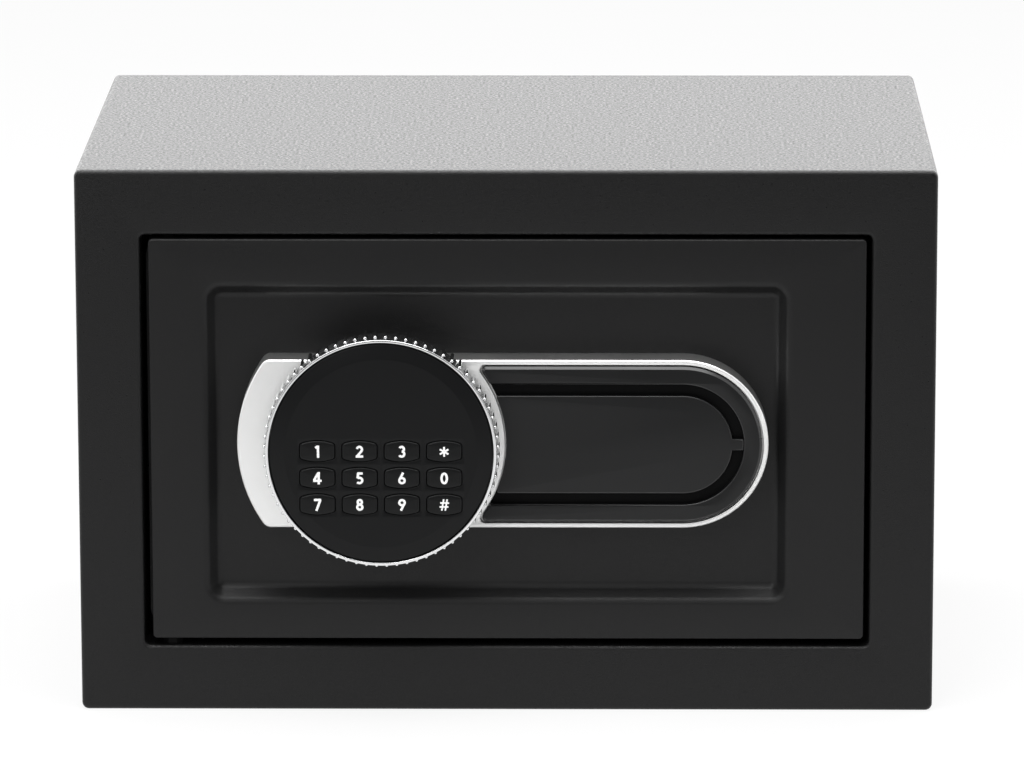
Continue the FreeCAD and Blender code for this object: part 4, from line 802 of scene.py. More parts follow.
@dataclass
class Handle:
    """Cast base behind the ring, its black insert with a channel, and the pad over the emergency lock."""

    palette: Palette
    centre: tuple[float, float] = (-44.6, 101.0)
    end_side: float = 63.7
    half: float = 31.0
    left_radius: float = 52.35
    corner: float = 3.6
    front: float = -6.5
    back: float = 6.0
    chamfer: float = 0.45
    pocket_half: float = 29.3
    pocket_radius: float = 44.2
    insert_half: float = 28.65
    insert_radius: float = 44.8
    insert_front: float = -7.3
    insert_back: float = -3.5
    insert_floor: float = -4.5
    insert_bevel: float = 0.9
    insert_corner: float = 1.6
    channel_half: float = 22.2
    channel_edge: float = 0.45
    pad_half: float = 18.0
    pad_back: float = -4.6
    peg_radius: float = 1.5
    peg_length: float = 2.5
    edge_round: float = 0.4
    edge_lift: float = 0.01
    edge_sink: float = 0.06
    tab_half: float = 2.0
    tab_reach: float = 22.0

    def build(self) -> None:
        """Builds the casting, the insert, the pad and the painted highlight on their edges."""
        self._base()
        self._insert()
        self._pad()
        self._edges()

    def _base_outline(self) -> Outline:
        """Round about the ring at the left, half-round at the right, with filleted corners where they meet."""
        side, height = self.centre
        fillet_height = self.half - self.corner
        fillet_side = -math.sqrt((self.left_radius - self.corner) ** 2 - fillet_height ** 2)
        lean = math.degrees(math.atan2(fillet_height, fillet_side))
        return Outline((Arc(self.end_side, height, self.half, -90, 90),
                        Arc(side + fillet_side, height + fillet_height, self.corner, 90, lean),
                        Arc(side, height, self.left_radius, lean, 360 - lean),
                        Arc(side + fillet_side, height - fillet_height, self.corner, 360 - lean, 270)), steps=40)

    def _hollowed(self, half: float, hollow: float, corner: float) -> tuple[Arc, ...]:
        """Arcs of an outline that is hollowed about the ring at the left and half-round at the right.

        A corner's centre lies at the hollow's radius plus its own from the ring's axis, and its
        own radius below the straight edge.

        Args:
            half: half the height.
            hollow: radius of the hollow.
            corner: radius of the two corners.

        Returns:
            The round end, the upper corner, the hollow and the lower corner.
        """
        side, height = self.centre
        lift = half - corner
        reach = math.sqrt((hollow + corner) ** 2 - lift ** 2)
        lean = math.degrees(math.atan2(lift, reach))
        return (Arc(self.end_side, height, half, -90, 90),
                Arc(side + reach, height + lift, corner, 90, 180 + lean), Arc(side, height, hollow, lean, -lean),
                Arc(side + reach, height - lift, corner, 180 - lean, 270))

    def _base(self) -> None:
        """Side wall, chamfer and face, then the pocket's wall and floor."""
        outline = self._base_outline()
        pocket = Outline(self._hollowed(self.pocket_half, self.pocket_radius, self.insert_corner + 0.3), steps=40)
        shell = rounded([(-0.4, self.back), (0.0, self.back), (0.0, self.front + self.chamfer),
                         (-self.chamfer, self.front), (-self.chamfer - 0.8, self.front)],
                        [0.2, 0.2, 0.2], steps=3)
        rings = [level(outline.trace(outset), depth) for outset, depth in shell[:-1]]
        wall = rounded([(0.6, self.front), (0.0, self.front), (0.0, self.insert_back)], [0.12], steps=2)
        rings += [level(pocket.trace(outset), depth) for outset, depth in wall[1:]]
        lock = circle(*LOCK_AXIS, LOCK_HOLE)
        skin = Skin().add(np.stack(rings)).bore(lock, self.insert_back, self.back)
        skin.fill([pocket.trace(), lock], self.insert_back).fill([outline.trace(shell[0, 0]), lock], self.back)
        skin.piece("handle_casting", "door", "satin_chrome", self.palette["satin_chrome"], ["handle_base"])

    def _insert(self) -> None:
        """A floor plate with a raised rim round the channel; the floor plate is darkened as painted shade of the deep
        channel.
        """
        side, height = self.centre
        floor = Outline(self._hollowed(self.insert_half - 0.1, self.insert_radius, self.insert_corner), 40).trace()
        holes = [circle(*LOCK_AXIS, LOCK_HOLE), *(circle(peg, height, PEG_HOLE, 20) for peg in PEG_SIDES)]
        skin = Skin().bore(floor, self.insert_back, self.insert_floor)
        skin.fill([floor, *holes], self.insert_back).fill([floor, *holes], self.insert_floor)
        for hole in holes:
            skin.bore(hole, self.insert_back, self.insert_floor)
        # The floor plate takes the near-black plastic: painted shade in the deep channel.
        skin.piece("channel_floor", "door", "black_moulding", self.palette["shade_darkened_plastic"])
        skin = Skin()
        inner_lift, inner_reach, inner_lean = self._mouth()
        thin = self.channel_edge / self.insert_bevel
        edge = self.channel_edge * 2
        rim = Outline((*self._rim_arcs(),
                       Arc(side + inner_reach, height + inner_lift, edge, 180 + inner_lean, 270, thin),
                       Arc(self.end_side, height, self.channel_half, 90, -90, thin),
                       Arc(side + inner_reach, height - inner_lift, edge, 90, 180 - inner_lean, thin)), steps=40)
        bevel = self.insert_bevel
        profile = rounded([(0.0, self.insert_floor), (0.0, self.insert_front + bevel), (-bevel, self.insert_front),
                           (-bevel - 0.2, self.insert_front)], [0.15, 0.15], steps=2)[:-1]
        skin.add(carried(rim, profile), first_cap=True, last_cap=True)
        skin.piece("handle_insert", "door", "black_moulding", self.palette["black_moulding"], ["handle_inlay"])

    def _mouth(self) -> tuple[float, float, float]:
        """Height, side and angle, from the ring's axis, of the edge's centre at the channel's upper mouth."""
        edge = self.channel_edge * 2
        lift = self.channel_half + edge
        reach = math.sqrt((self.insert_radius + edge) ** 2 - lift ** 2)
        return lift, reach, math.degrees(math.atan2(lift, reach))

    def _rim_arcs(self) -> tuple[Arc, ...]:
        """The insert's outer arcs, from the channel's lower mouth round to its upper one."""
        end, upper, hollow, lower = self._hollowed(self.insert_half, self.insert_radius, self.insert_corner)
        mouth = self._mouth()[2]
        return replace(hollow, start=-mouth), lower, end, upper, replace(hollow, end=mouth)

    def _edges(self) -> None:
        """Painted highlight on the insert's edges, in a lighter and glossier moulding: its outer bevel, and the
        rounded edge along its channel.

        Each is a thin closed ribbon, with one side just proud of the edge and one just inside it.
        """
        side, height = self.centre
        far = side + math.sqrt(self.insert_radius ** 2 - self.channel_half ** 2) + self.insert_bevel
        channel = Outline((Arc(far, height + self.channel_half, 0.0, 90, 90),
                           Arc(self.end_side, height, self.channel_half, 90, -90),
                           Arc(far, height - self.channel_half, 0.0, -90, -90)), steps=40)
        skin = Skin()
        bevel = [(0.0, self.insert_front + self.insert_bevel), (-self.insert_bevel, self.insert_front)]
        self._ribbon(skin, Outline(self._rim_arcs(), steps=40), np.array(bevel), False)
        self._ribbon(skin, channel, self._edge_profile(), False)
        skin.piece("insert_highlight_edges", "door", "black_moulding", self.palette["highlight_edge_moulding"])

    def _edge_profile(self) -> Points:
        """Rows of outset and depth round a soft edge of the mouldings."""
        return rounded([(0.0, self.insert_floor), (0.0, self.insert_front), (-1.0, self.insert_front)],
                       [self.edge_round], steps=5)[1:-1]

    def _ribbon(self, skin: Skin, outline: Outline, edge: Points, closed: bool) -> None:
        """Adds a thin ribbon that covers an edge, to carry a painted highlight.

        Args:
            skin: the piece's surfaces.
            outline: the edge's path.
            edge: rows of outset and depth across the edge.
            closed: whether the path joins its own start.
        """
        proud = edge + (self.edge_lift, -self.edge_lift)
        sunk = edge[::-1] - (self.edge_sink, -self.edge_sink)
        loop = np.concatenate((proud, sunk))
        rings = np.swapaxes(carried(outline, loop), 0, 1)
        skin.add(rings, lengthwise=closed, first_cap=not closed, last_cap=not closed)

    def _pad(self) -> None:
        """Pad with a tab across the channel at its round end."""
        side, height = self.centre
        corner = 0.8
        lift = self.pad_half - corner
        reach = math.sqrt((self.insert_radius + corner) ** 2 - lift ** 2)
        lean = math.degrees(math.atan2(lift, reach))
        notch = math.degrees(math.asin(self.tab_half / self.pad_half))
        tip, soft = self.end_side + self.tab_reach, 0.5
        outline = Outline((Arc(self.end_side, height, self.pad_half, -90, -notch),
                           Arc(tip - soft, height - self.tab_half + soft, soft, -90, 0),
                           Arc(tip - soft, height + self.tab_half - soft, soft, 0, 90),
                           Arc(self.end_side, height, self.pad_half, notch, 90),
                           Arc(side + reach, height + lift, corner, 90, 180 + lean),
                           Arc(side, height, self.insert_radius, lean, -lean),
                           Arc(side + reach, height - lift, corner, 180 - lean, 270)), steps=24)
        profile = rounded([(0.0, self.pad_back), (0.0, self.insert_front), (-1.0, self.insert_front)],
                          [self.edge_round], steps=5)[:-1]
        skin = Skin().add(carried(outline, profile), first_cap=True, last_cap=True)
        peg = rounded([(0.0, self.pad_back + self.peg_length), (self.peg_radius, self.pad_back + self.peg_length),
                       (self.peg_radius, self.pad_back)], [0.3])
        for peg_side in PEG_SIDES:
            skin.add(turned(peg, peg_side, height, 20), last_cap=True)
        skin.piece("lock_pad", "cover_pad", "black_moulding", self.palette["black_moulding"], ["key_cover"])
        # Lighter, glossier ribbon round the pad's edge: painted highlight.
        skin = Skin()
        self._ribbon(skin, outline, self._edge_profile(), True)
        skin.piece("pad_highlight_edge", "cover_pad", "black_moulding", self.palette["highlight_edge_moulding"])


# Ring

@dataclass
class Ring:
    """Drum on a web and a hub, with a bright lip and bright ribs; the drum's darker chrome is painted shade between
    the ribs.
    """

    palette: Palette
    drum_radius: float = 41.1
    lip_radius: float = 41.5
    inner_radius: float = 40.5
    lip_depth: float = 1.1
    front: float = -21.5
    back: float = -7.3
    web: float = 2.0
    rib_count: int = 72
    rib_radius: float = 0.65
    rib_centre: float = 41.95
    rib_start: float = 2.1
    rib_stop: float = 0.8
    hub: float = 9.0
    bore: float = 6.45
    hub_end: float = 22.4
    steps: int = 180

    def build(self) -> None:
        """Builds the drum, the lip and the ribs."""
        self._drum()
        self._lip()
        self._ribs()

    def _drum(self) -> None:
        """Drum, web and hub: one closed profile turned about the ring's axis."""
        seam, floor = self.front + self.lip_depth, self.back - self.web
        profile = [(self.hub, self.hub_end), (self.hub, self.back), (self.drum_radius, self.back),
                   (self.drum_radius, seam), (self.inner_radius, seam), (self.inner_radius, floor),
                   (self.bore, floor), (self.bore, self.hub_end)]
        # The drum takes the darker chrome as painted shade between the ribs.
        Skin().add(turned(profile, *RING_AXIS, self.steps), lengthwise=True).piece(
            "ring_drum", "ring", "bright_chrome", self.palette["shade_darkened_chrome"], ["grip_ring"])

    def _lip(self) -> None:
        """Bright lip at the drum's front, with rounded edges."""
        seam = self.front + self.lip_depth
        profile = rounded([(self.inner_radius, seam), (self.lip_radius, seam), (self.lip_radius, self.front),
                           (self.inner_radius, self.front), (self.inner_radius, seam - 0.01)],
                          [0.15, 0.25, 0.18], steps=5)
        Skin().add(turned(profile, *RING_AXIS, self.steps), lengthwise=True).piece(
            "ring_lip", "ring", "bright_chrome", self.palette["bright_chrome"])

    def _ribs(self) -> None:
        """Even rods sunk in the drum's side, each with a ball nose.

        A rod's profile follows a quarter circle from the tip of its nose to its full radius, then
        runs straight to its tail.
        """
        turn = np.linspace(0.0, np.pi / 2, 6)
        nose = np.column_stack((np.sin(turn), 1.0 - np.cos(turn))) * self.rib_radius
        tail = self.back - self.rib_stop
        rod = np.concatenate((nose + (0.0, self.front + self.rib_start), [(self.rib_radius, tail), (0.0, tail)]))
        skin = Skin()
        for place in (np.arange(self.rib_count) + 0.5) * 2.0 * np.pi / self.rib_count:
            side = RING_AXIS[0] + self.rib_centre * math.cos(place)
            skin.add(turned(rod, side, RING_AXIS[1] + self.rib_centre * math.sin(place), 14))
        skin.piece("ring_ribs", "ring", "bright_chrome", self.palette["bright_chrome"])


# Inside of the door

@dataclass
class Inside:
    """What the open door and its covers show: round bolts, cover screws and the cells."""

    palette: Palette
    bolt_tip: float = 1.6
    screw_radius: float = 3.0
    screw_rim: float = 0.5
    cross_reach: float = 1.7
    cross_half: float = 0.45
    cross_depth: float = 0.9
    nub_radius: float = 2.75
    nub_reach: float = 1.0
    cell_rim: float = 0.7

    def build(self) -> None:
        """Builds the bolts, the screws and the cells."""
        for node in ("bolt_upper", "bolt_lower"):
            self._bolt(node)
        self._screws()
        self._cells()

    def _bolt(self, node: str) -> None:
        """A round bolt with a turned-down tip."""
        low, high = box_of(node)
        radius = (high[2] - low[2]) / 2
        profile = rounded([(0.0, low[0]), (radius, low[0]), (radius, high[0] - self.bolt_tip),
                           (radius - self.bolt_tip, high[0]), (0.0, high[0])], [0.2, 0.6, 0.6])
        rings = rolled(profile, (low[1] + high[1]) / 2, (low[2] + high[2]) / 2, 64)
        Skin().add(rings).piece(f"round_{node}", "carriage", "polished_steel", self.palette["polished_steel"],
                                [node])

    def _screws(self) -> None:
        """The inner cover's screws: a domed head with a cross-shaped recess."""
        low, high = box_of("cover_screws")
        shaft_radius = self.screw_radius / 2
        skin = Skin()
        reach, half = self.cross_reach, self.cross_half
        cross = np.array([(half, -reach), (half, -half), (reach, -half), (reach, half), (half, half), (half, reach),
                          (-half, reach), (-half, half), (-reach, half), (-reach, -half), (-half, -half),
                          (-half, -reach)])
        back = high[1]
        seat = back - 1.8
        dome = rounded([(0.0, low[1]), (shaft_radius, low[1]), (shaft_radius, seat), (self.screw_radius, seat),
                        (self.screw_radius, back - self.screw_rim), (reach + half, back)], [0.1, 0.1, 0.1, 0.5])
        for side in (low[0] + self.screw_radius, high[0] - self.screw_radius):
            for height in (low[2] + self.screw_radius, high[2] - self.screw_radius):
                skin.add(turned(dome, side, height, 40))
                hole = cross + (side, height)
                skin.fill([circle(side, height, reach + half, 40), hole], back)
                skin.bore(hole, back, back - self.cross_depth).fill([hole], back - self.cross_depth)
        skin.piece("round_cover_screws", "door", "zinc_steel", self.palette["zinc_steel"], ["cover_screws"])

    def _cells(self) -> None:
        """Two by two cells, each a rolled can with a nub at its end."""
        low, high = box_of("battery_cells")
        length = (high[0] - low[0]) / 2 - self.nub_reach
        radius = (high[1] - low[1]) / 2
        skin = Skin()
        for start in (low[0], high[0] - length):
            end = start + length - self.nub_reach
            can = rounded([(0.0, start), (radius, start), (radius, end), (self.nub_radius, end),
                           (self.nub_radius, end + self.nub_reach), (0.0, end + self.nub_reach)],
                          [self.cell_rim, self.cell_rim, 0.2, 0.4])
            for height in (low[2] + radius, high[2] - radius):
                skin.add(rolled(can, (low[1] + high[1]) / 2, height, 48))
        skin.piece("round_cells", "door", "cell_jacket", self.palette["cell_jacket"], ["battery_cells"])


# Keypad

@dataclass(frozen=True)
class Stroke:
    """Part of a figure's middle line: an elliptic arc, or a straight bar where its angles are equal."""

    side: float
    height: float
    across: float
    up: float
    start: float = 0.0
    end: float = 0.0
    weight: float = 0.19

    def line(self, steps: int = 22) -> Points:
        """The stroke's middle line.

        A bar runs from its first point to its second. A bow's points are its centre plus its two
        radii times the cosine and sine of an even turn.

        Args:
            steps: points on a bow.

        Returns:
            One row for each point, in parts of the figure's height.
        """
        if self.start == self.end:
            return np.array([(self.side, self.height), (self.across, self.up)])
        turn = np.radians(np.linspace(self.start, self.end, steps))
        return np.column_stack((self.side + self.across * np.cos(turn), self.height + self.up * np.sin(turn)))


FIGURES = {
    "1": (Stroke(0.07, 0.0, 0.07, 1.0), Stroke(-0.15, 0.80, 0.03, 0.92)),
    "2": (Stroke(0.0, 0.68, 0.20, 0.215, 168, -38), Stroke(0.175, 0.57, -0.20, 0.10),
          Stroke(-0.30, 0.105, 0.30, 0.105)),
    "3": (Stroke(-0.01, 0.70, 0.18, 0.195, 150, -88), Stroke(-0.01, 0.31, 0.21, 0.205, 88, -150)),
    "4": (Stroke(0.11, 0.0, 0.11, 1.0), Stroke(-0.33, 0.29, 0.34, 0.29), Stroke(0.08, 0.93, -0.27, 0.33)),
    "5": (Stroke(-0.19, 0.895, 0.25, 0.895), Stroke(-0.12, 0.9, -0.17, 0.50),
          Stroke(-0.02, 0.325, 0.23, 0.22, 128, -140)),
    "6": (Stroke(0.0, 0.315, 0.215, 0.21, 0, 360), Stroke(-0.20, 0.38, 0.10, 0.97)),
    "7": (Stroke(-0.28, 0.895, 0.29, 0.895), Stroke(0.22, 0.88, -0.10, 0.0)),
    "8": (Stroke(0.0, 0.715, 0.165, 0.18, 0, 360), Stroke(0.0, 0.31, 0.205, 0.205, 0, 360)),
    "9": (Stroke(0.0, 0.685, 0.215, 0.21, 0, 360), Stroke(0.20, 0.62, -0.10, 0.03)),
    "0": (Stroke(0.0, 0.5, 0.215, 0.395, 0, 360),),
    "star": (Stroke(0.0, 0.10, 0.0, 0.90, weight=0.15), Stroke(-0.346, 0.30, 0.346, 0.70, weight=0.15),
             Stroke(-0.346, 0.70, 0.346, 0.30, weight=0.15)),
    "hash": (Stroke(-0.21, 0.04, -0.05, 0.96, weight=0.13), Stroke(0.07, 0.04, 0.23, 0.96, weight=0.13),
             Stroke(-0.33, 0.66, 0.38, 0.66, weight=0.13), Stroke(-0.38, 0.34, 0.33, 0.34, weight=0.13)),
}


@dataclass
class Keypad:
    """Keypad face with a bevelled border, twelve bowed keys and their figures."""

    palette: Palette
    centre: tuple[float, float] = (-44.6, 101.0)
    radius: float = 39.95
    flat_radius: float = 34.6
    face_front: float = -22.1
    face_edge: float = -21.2
    face_back: float = -18.7
    key_front: float = -22.74
    key_width: float = 12.5
    key_height: float = 7.6
    key_bow: float = 1.2
    key_corner: float = 1.2
    key_crown: float = 0.5
    key_dome: float = 0.15
    key_gap: float = 0.2
    key_back: float = -18.65
    pitch_across: float = 15.17
    pitch_down: float = 9.79
    middle_row: float = -8.85
    figure_height: float = 4.5
    rows: tuple[tuple[str, ...], ...] = (("1", "2", "3", "star"), ("4", "5", "6", "0"), ("7", "8", "9", "hash"))

    def build(self) -> None:
        """Builds the face, then each key with its figure."""
        self._face()
        for row, names in enumerate(self.rows):
            for column, name in enumerate(names):
                across = (column - 1.5) * self.pitch_across
                down = self.middle_row + (1 - row) * self.pitch_down
                self._key(name, across, down)
                self._figure(name, across, down)

    def _key_outline(self) -> Outline:
        """A key's outline about its own middle: straight sides, bowed top and bottom, round corners.

        The bow's radius is a quarter of the width squared plus the bow squared, over twice the bow.
        A corner's centre is its radius in from the side and lies at the bow's radius less its own
        from the bow's centre.

        Returns:
            The outline.
        """
        half = self.key_width / 2
        bow = (half ** 2 + self.key_bow ** 2) / (2 * self.key_bow)
        drop = bow - self.key_height / 2
        inset = half - self.key_corner
        lift = math.sqrt((bow - self.key_corner) ** 2 - inset ** 2)
        lean = math.degrees(math.atan2(lift, inset))
        rise = lift - drop
        return Outline((Arc(inset, rise, self.key_corner, 0, lean), Arc(0.0, -drop, bow, lean, 180 - lean),
                        Arc(-inset, rise, self.key_corner, 180 - lean, 180),
                        Arc(-inset, -rise, self.key_corner, 180, 180 + lean),
                        Arc(0.0, drop, bow, 180 + lean, 360 - lean),
                        Arc(inset, -rise, self.key_corner, 360 - lean, 360)), steps=12)

    def _height(self, points: Points) -> Points:
        """Depth of the face's front at points about its middle: flat, then falling evenly to the edge."""
        radius = np.hypot(points[:, 0], points[:, 1])
        fall = np.clip((radius - self.flat_radius) / (self.radius - self.flat_radius), 0.0, 1.0)
        return self.face_front + (self.face_edge - self.face_front) * fall

    def _border(self) -> Points:
        """The border of a key's cell about the key's middle.

        Each point of the opening moves straight out from the middle until it meets the border,
        and the points nearest to each corner's direction go to the corner itself.

        Returns:
            One row for each point of the opening.
        """
        hole = self._key_outline().trace(self.key_gap)
        half = np.array((self.pitch_across / 2, self.pitch_down / 2))
        border = hole * (half / np.abs(hole).clip(SAME)).min(axis=1, keepdims=True)
        for corner in half * np.array(((1, 1), (-1, 1), (-1, -1), (1, -1))):
            lean = np.abs(np.arctan2(border[:, 1], border[:, 0]) - np.arctan2(corner[1], corner[0]))
            border[lean < lean.min() + SAME] = corner
        return border

    def _cell(self, across: float, down: float) -> Points:
        """Rings from a key's opening to the border of its cell.

        Args:
            across: the key's side from the face's middle.
            down: the key's height from the face's middle.

        Returns:
            Rings from the opening's back edge to the cell's border.
        """
        outline = self._key_outline()
        border = self._border()
        middle = np.array((across, down))
        edge = [(self.key_gap, self.face_back), (self.key_gap, None), (self.key_gap + 0.07, None),
                (self.key_gap + 0.22, None)]
        rings = []
        for (outset, depth), sink in zip(edge, (0.0, 0.22, 0.07, 0.0)):
            line = outline.trace(outset) + middle
            rings.append(level(line, self._height(line) + sink if depth is None else depth))
        rings.append(level(border + middle, self._height(border + middle)))
        return np.stack(rings)

    def _face(self) -> None:
        """Cells round the openings, then rings from the block of cells out to the rim and round the back.

        The rings' points lie straight out from those of the block, but above the block their
        turns are spaced evenly.
        """
        skin = Skin()
        side, height = self.centre
        place = np.array((side, 0.0, height))
        for row in range(3):
            for column in range(4):
                cell = self._cell((column - 1.5) * self.pitch_across, self.middle_row + (1 - row) * self.pitch_down)
                skin.add(cell + place)
        block = self._block()
        reach = np.hypot(block[:, 0], block[:, 1])
        turn = np.arctan2(block[:, 1], block[:, 0])
        top = np.isclose(block[:, 1], block[:, 1].max())
        turn[top] = np.linspace(turn[top][0], turn[top][-1], top.sum())
        way = np.column_stack((np.cos(turn), np.sin(turn)))
        rings = [level(block, self._height(block))]
        for wanted in (self.flat_radius - 0.25, self.flat_radius, self.flat_radius + 0.25, self.radius - 0.35):
            radius = np.maximum(reach, wanted)[:, None]
            rings.append(level(way * radius, self._height(way * radius)))
        rim = rounded([(self.radius - 0.35, self._rim_depth()), (self.radius, self.face_edge + 0.02),
                       (self.radius, self.face_back), (self.radius - 1.2, self.face_back)], [0.2, 0.1], steps=3)
        rings += [level(way * radius, depth) for radius, depth in rim[1:]]
        rings.append(level(block, self.face_back))
        skin.add(np.stack(rings) + place)
        skin.piece("keypad_front", "door", "black_moulding", self.palette["keypad_plastic"], ["keypad_face"])

    def _rim_depth(self) -> float:
        """Depth of the border just inside the rim."""
        return float(self._height(np.array([(self.radius - 0.35, 0.0)]))[0])

    def _block(self) -> Points:
        """The border of the block of cells, as the cells' own border points laid end to end."""
        border = self._border()
        top = border[np.isclose(border[:, 1], self.pitch_down / 2)][:, 0]
        upright = border[np.isclose(border[:, 0], self.pitch_across / 2)][:, 1]
        columns = (np.arange(4) - 1.5) * self.pitch_across
        rows = self.middle_row + (np.arange(3) - 1) * self.pitch_down
        across = np.unique(np.round((columns[:, None] + top).ravel(), 6))
        up = np.unique(np.round((rows[:, None] + upright).ravel(), 6))
        right, left, low, high = across.max(), across.min(), up.min(), up.max()
        runs = [np.column_stack((np.full(len(up), right), up))[:-1],
                np.column_stack((across[::-1], np.full(len(across), high)))[:-1],
                np.column_stack((np.full(len(up), left), up[::-1]))[:-1],
                np.column_stack((across, np.full(len(across), low)))[:-1]]
        return np.concatenate(runs)

    def _key(self, name: str, across: float, down: float) -> None:
        """A key's wall, rounded crown and slightly domed top.

        The dome falls from the middle with the square of the share of the way out.

        Args:
            name: the key's name.
            across: its side from the face's middle.
            down: its height from the face's middle.
        """
        outline = self._key_outline()
        rim = self.key_front + self.key_dome
        wall = rounded([(0.0, self.key_back), (0.0, rim), (-self.key_crown - 0.2, rim)], [self.key_crown],
                       steps=4)[:-1]
        rings = [level(outline.trace(outset), depth) for outset, depth in wall]
        top = outline.trace(-self.key_crown)
        for share in (0.8, 0.55, 0.3, 0.08):
            rings.append(level(top * share, self.key_front + self.key_dome * share ** 2))
        side, height = self.centre
        place = np.array((side + across, 0.0, height + down))
        Skin().add(np.stack(rings) + place, first_cap=True, last_cap=True).piece(
            f"button_{name}", f"key_{name}", "key_plastic", self.palette["key_plastic"], [f"key_{name}"])

    def _figure(self, name: str, across: float, down: float) -> None:
        """A key's printed figure: each stroke is a flat ribbon laid on the dome.

        A ribbon's edges are its middle line moved by half its weight along the normal. Its four
        long edges are two on the top and two just under the key's surface.

        Args:
            name: the key's name.
            across: the key's side from the face's middle.
            down: the key's height from the face's middle.
        """
        skin = Skin()
        side, height = self.centre
        for number, stroke in enumerate(FIGURES[name]):
            line = stroke.line()
            run = np.gradient(line, axis=0)
            run /= np.linalg.norm(run, axis=1, keepdims=True)
            whole = abs(stroke.end - stroke.start) == 360
            if whole:
                line, run = line[:-1], run[:-1]
                run[0] = run[0] * np.array((0.0, 1.0))
            normal = np.column_stack((-run[:, 1], run[:, 0])) * stroke.weight / 2
            shift = np.array((0.0, -0.5))
            left = (line + normal + shift) * self.figure_height
            right = (line - normal + shift) * self.figure_height
            edges = []
            for points, lift in ((left, 0.03), (right, 0.03), (right, -0.05), (left, -0.05)):
                share = (points[:, 0] / self.key_width * 2) ** 2 + (points[:, 1] / self.key_height * 2) ** 2
                depth = self.key_front + self.key_dome * share / 2 - lift - 0.003 * number
                edges.append(level(points + np.array((side + across, height + down)), depth))
            ribbon = np.stack(edges, axis=1)
            skin.add(ribbon, lengthwise=whole, first_cap=not whole, last_cap=not whole)
        skin.piece(f"figure_{name}", f"key_{name}", "key_plastic", self.palette["key_figures"])


# Studio

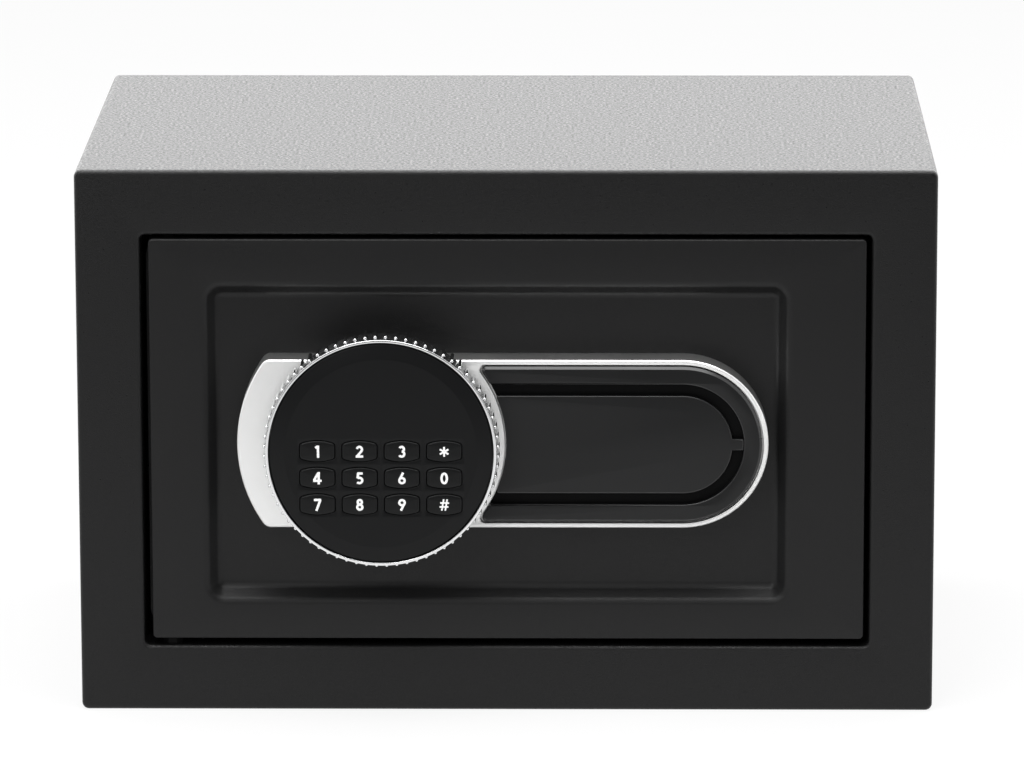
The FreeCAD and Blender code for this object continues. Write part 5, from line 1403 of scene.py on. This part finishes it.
@dataclass
class Studio:
    """Plain pale floor, soft light from above and the front, and the camera at the photograph's angle."""

    floor_reach: float = 8.0
    image_width: int = 1024
    focal_pixels: float = 6675.58
    sensor: float = 36.0
    eye: tuple[float, float, float] = (37.106, -2350.881, 643.337)
    yaw: float = 0.014855
    pitch: float = 0.21851
    roll: float = -0.001981

    def build(self) -> None:
        """Builds the floor, the world, the lamps and the camera."""
        self._floor()
        self._world()
        self._lamp("overhead_softbox", (0.0, -0.1, 1.7), (0.0, 0.0, 0.1), 1.6, 38.0)
        self._lamp("front_softbox", (-0.9, -2.2, 1.5), (0.0, 0.0, 0.1), 1.2, 16.0)
        self._camera()
        bpy.context.scene.view_settings.view_transform = "Standard"

    def _floor(self) -> None:
        """White floor that keeps a faint shadow. It glows evenly white to the camera, and in reflections its glow
        dims towards the camera's side as painted light.
        """
        reach = self.floor_reach
        mesh = bpy.data.meshes.new("floor")
        mesh.from_pydata([(-reach, -reach, 0), (reach, -reach, 0), (reach, reach, 0), (-reach, reach, 0)], [],
                         [(0, 1, 2, 3)])
        floor = bpy.data.objects.new("floor", mesh)
        bpy.context.scene.collection.objects.link(floor)
        material = bpy.data.materials.new("floor")
        material.use_nodes = True
        tree = material.node_tree
        tree.nodes.clear()
        paint = add_node(tree, "ShaderNodeBsdfDiffuse", {"Color": (0.9, 0.9, 0.9, 1.0)})
        place = add_node(tree, "ShaderNodeTexCoord").outputs["Object"]
        split = add_node(tree, "ShaderNodeSeparateXYZ", {"Vector": place})
        # Painted light: the floor's glow seen in reflections fades from full near the object to almost none towards
        # the camera.
        reflected_glow_fade = add_node(tree, "ShaderNodeMapRange", {"Value": split.outputs["Y"], "From Min": -1.1,
                                                     "From Max": -0.45, "To Min": 0.02, "To Max": 1.0})
        path = add_node(tree, "ShaderNodeLightPath")
        level_of_light = add_node(tree, "ShaderNodeMix", {"Factor": path.outputs["Is Camera Ray"],
                                                          2: reflected_glow_fade.outputs["Result"], 3: 1.0})
        glow = add_node(tree, "ShaderNodeEmission", {"Color": (1.0, 1.0, 1.0, 1.0),
                                                     "Strength": level_of_light.outputs[0]})
        share = add_node(tree, "ShaderNodeMath", {0: self._seen(tree), 1: 0.85}, operation="MULTIPLY")
        mix = add_node(tree, "ShaderNodeMixShader", {0: share.outputs[0], 1: paint.outputs[0], 2: glow.outputs[0]})
        add_node(tree, "ShaderNodeOutputMaterial", {"Surface": mix.outputs[0]})
        mesh.materials.append(material)

    @staticmethod
    def _seen(tree: bpy.types.NodeTree) -> bpy.types.NodeSocket:
        """One for rays from the camera, from gloss and through glass, otherwise nought."""
        path = add_node(tree, "ShaderNodeLightPath")
        first = add_node(tree, "ShaderNodeMath", {0: path.outputs["Is Camera Ray"], 1: path.outputs["Is Glossy Ray"]},
                         operation="MAXIMUM")
        return add_node(tree, "ShaderNodeMath", {0: first.outputs[0], 1: path.outputs["Is Transmission Ray"]},
                        operation="MAXIMUM").outputs[0]

    def _world(self) -> None:
        """White behind the object and above it, dimmer on the camera's side of the room."""
        world = bpy.data.worlds.new("studio")
        bpy.context.scene.world = world
        world.use_nodes = True
        tree = world.node_tree
        tree.nodes.clear()
        way = add_node(tree, "ShaderNodeTexCoord").outputs["Generated"]
        split = add_node(tree, "ShaderNodeSeparateXYZ", {"Vector": way})
        wall = add_node(tree, "ShaderNodeMapRange", {"Value": split.outputs["Y"], "From Min": -0.6,
                                                     "From Max": 0.6, "To Min": 0.25, "To Max": 3.5})
        path = add_node(tree, "ShaderNodeLightPath")
        room = add_node(tree, "ShaderNodeBackground", {"Color": (1.0, 1.0, 1.0, 1.0),
                                                       "Strength": wall.outputs["Result"]})
        fill = add_node(tree, "ShaderNodeBackground", {"Color": (1.0, 1.0, 1.0, 1.0), "Strength": 0.45})
        white = add_node(tree, "ShaderNodeBackground", {"Color": (1.0, 1.0, 1.0, 1.0), "Strength": 1.0})
        gloss = add_node(tree, "ShaderNodeMath", {0: path.outputs["Is Glossy Ray"],
                                                  1: path.outputs["Is Transmission Ray"]}, operation="MAXIMUM")
        lit = add_node(tree, "ShaderNodeMixShader", {0: gloss.outputs[0], 1: fill.outputs[0], 2: room.outputs[0]})
        seen = add_node(tree, "ShaderNodeMixShader", {0: path.outputs["Is Camera Ray"], 1: lit.outputs[0],
                                                      2: white.outputs[0]})
        add_node(tree, "ShaderNodeOutputWorld", {"Surface": seen.outputs[0]})

    @staticmethod
    def _lamp(name: str, place: Sequence[float], aim: Sequence[float], size: float, power: float) -> None:
        """A square soft lamp.

        Args:
            name: its name.
            place: where it is, in metres.
            aim: the point that it faces, in metres.
            size: its side, in metres.
            power: its power, in watts.
        """
        light = bpy.data.lights.new(name, "AREA")
        light.shape = "SQUARE"
        light.size = size
        light.energy = power
        lamp = bpy.data.objects.new(name, light)
        bpy.context.scene.collection.objects.link(lamp)
        lamp.location = place
        away = np.asarray(place, float) - np.asarray(aim, float)
        lamp.rotation_euler = Vector(away).to_track_quat("Z", "Y").to_euler()

    def _camera(self) -> None:
        """Camera from the fitted eye, turn and focal length.

        Its axes are the sideways, upward and backward directions of the fitted view, turned by
        the roll, and its lens is the focal length in pixels times the sensor over the image width.
        """
        data = bpy.data.cameras.new("camera")
        data.sensor_fit = "HORIZONTAL"
        data.sensor_width = self.sensor
        data.lens = self.focal_pixels * self.sensor / self.image_width
        data.clip_end = 100.0
        camera = bpy.data.objects.new("camera", data)
        bpy.context.scene.collection.objects.link(camera)
        ahead = np.array((-math.sin(self.yaw) * math.cos(self.pitch), math.cos(self.yaw) * math.cos(self.pitch),
                          -math.sin(self.pitch)))
        level_side = np.array((math.cos(self.yaw), math.sin(self.yaw), 0.0))
        up = np.cross(level_side, ahead)
        side = math.cos(self.roll) * level_side + math.sin(self.roll) * up
        top = -math.sin(self.roll) * level_side + math.cos(self.roll) * up
        turn = np.eye(4)
        turn[:3, 0], turn[:3, 1], turn[:3, 2] = side, top, -ahead
        turn[:3, 3] = np.array(self.eye) * MM + np.array((0.0, FACE, 0.0))
        camera.matrix_world = Matrix(turn.tolist())
        bpy.context.scene.camera = camera


def main() -> None:
    """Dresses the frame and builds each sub-assembly."""
    logging.basicConfig(level=logging.INFO, format="%(name)s: %(message)s")
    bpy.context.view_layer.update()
    palette = Palette()
    palette.dress_solids()
    for part in (Cabinet(palette), Door(palette), Handle(palette), Ring(palette), Inside(palette), Keypad(palette),
                 Studio()):
        part.build()
        log.info("%s built", type(part).__name__)


if __name__ == "__main__":
    main()
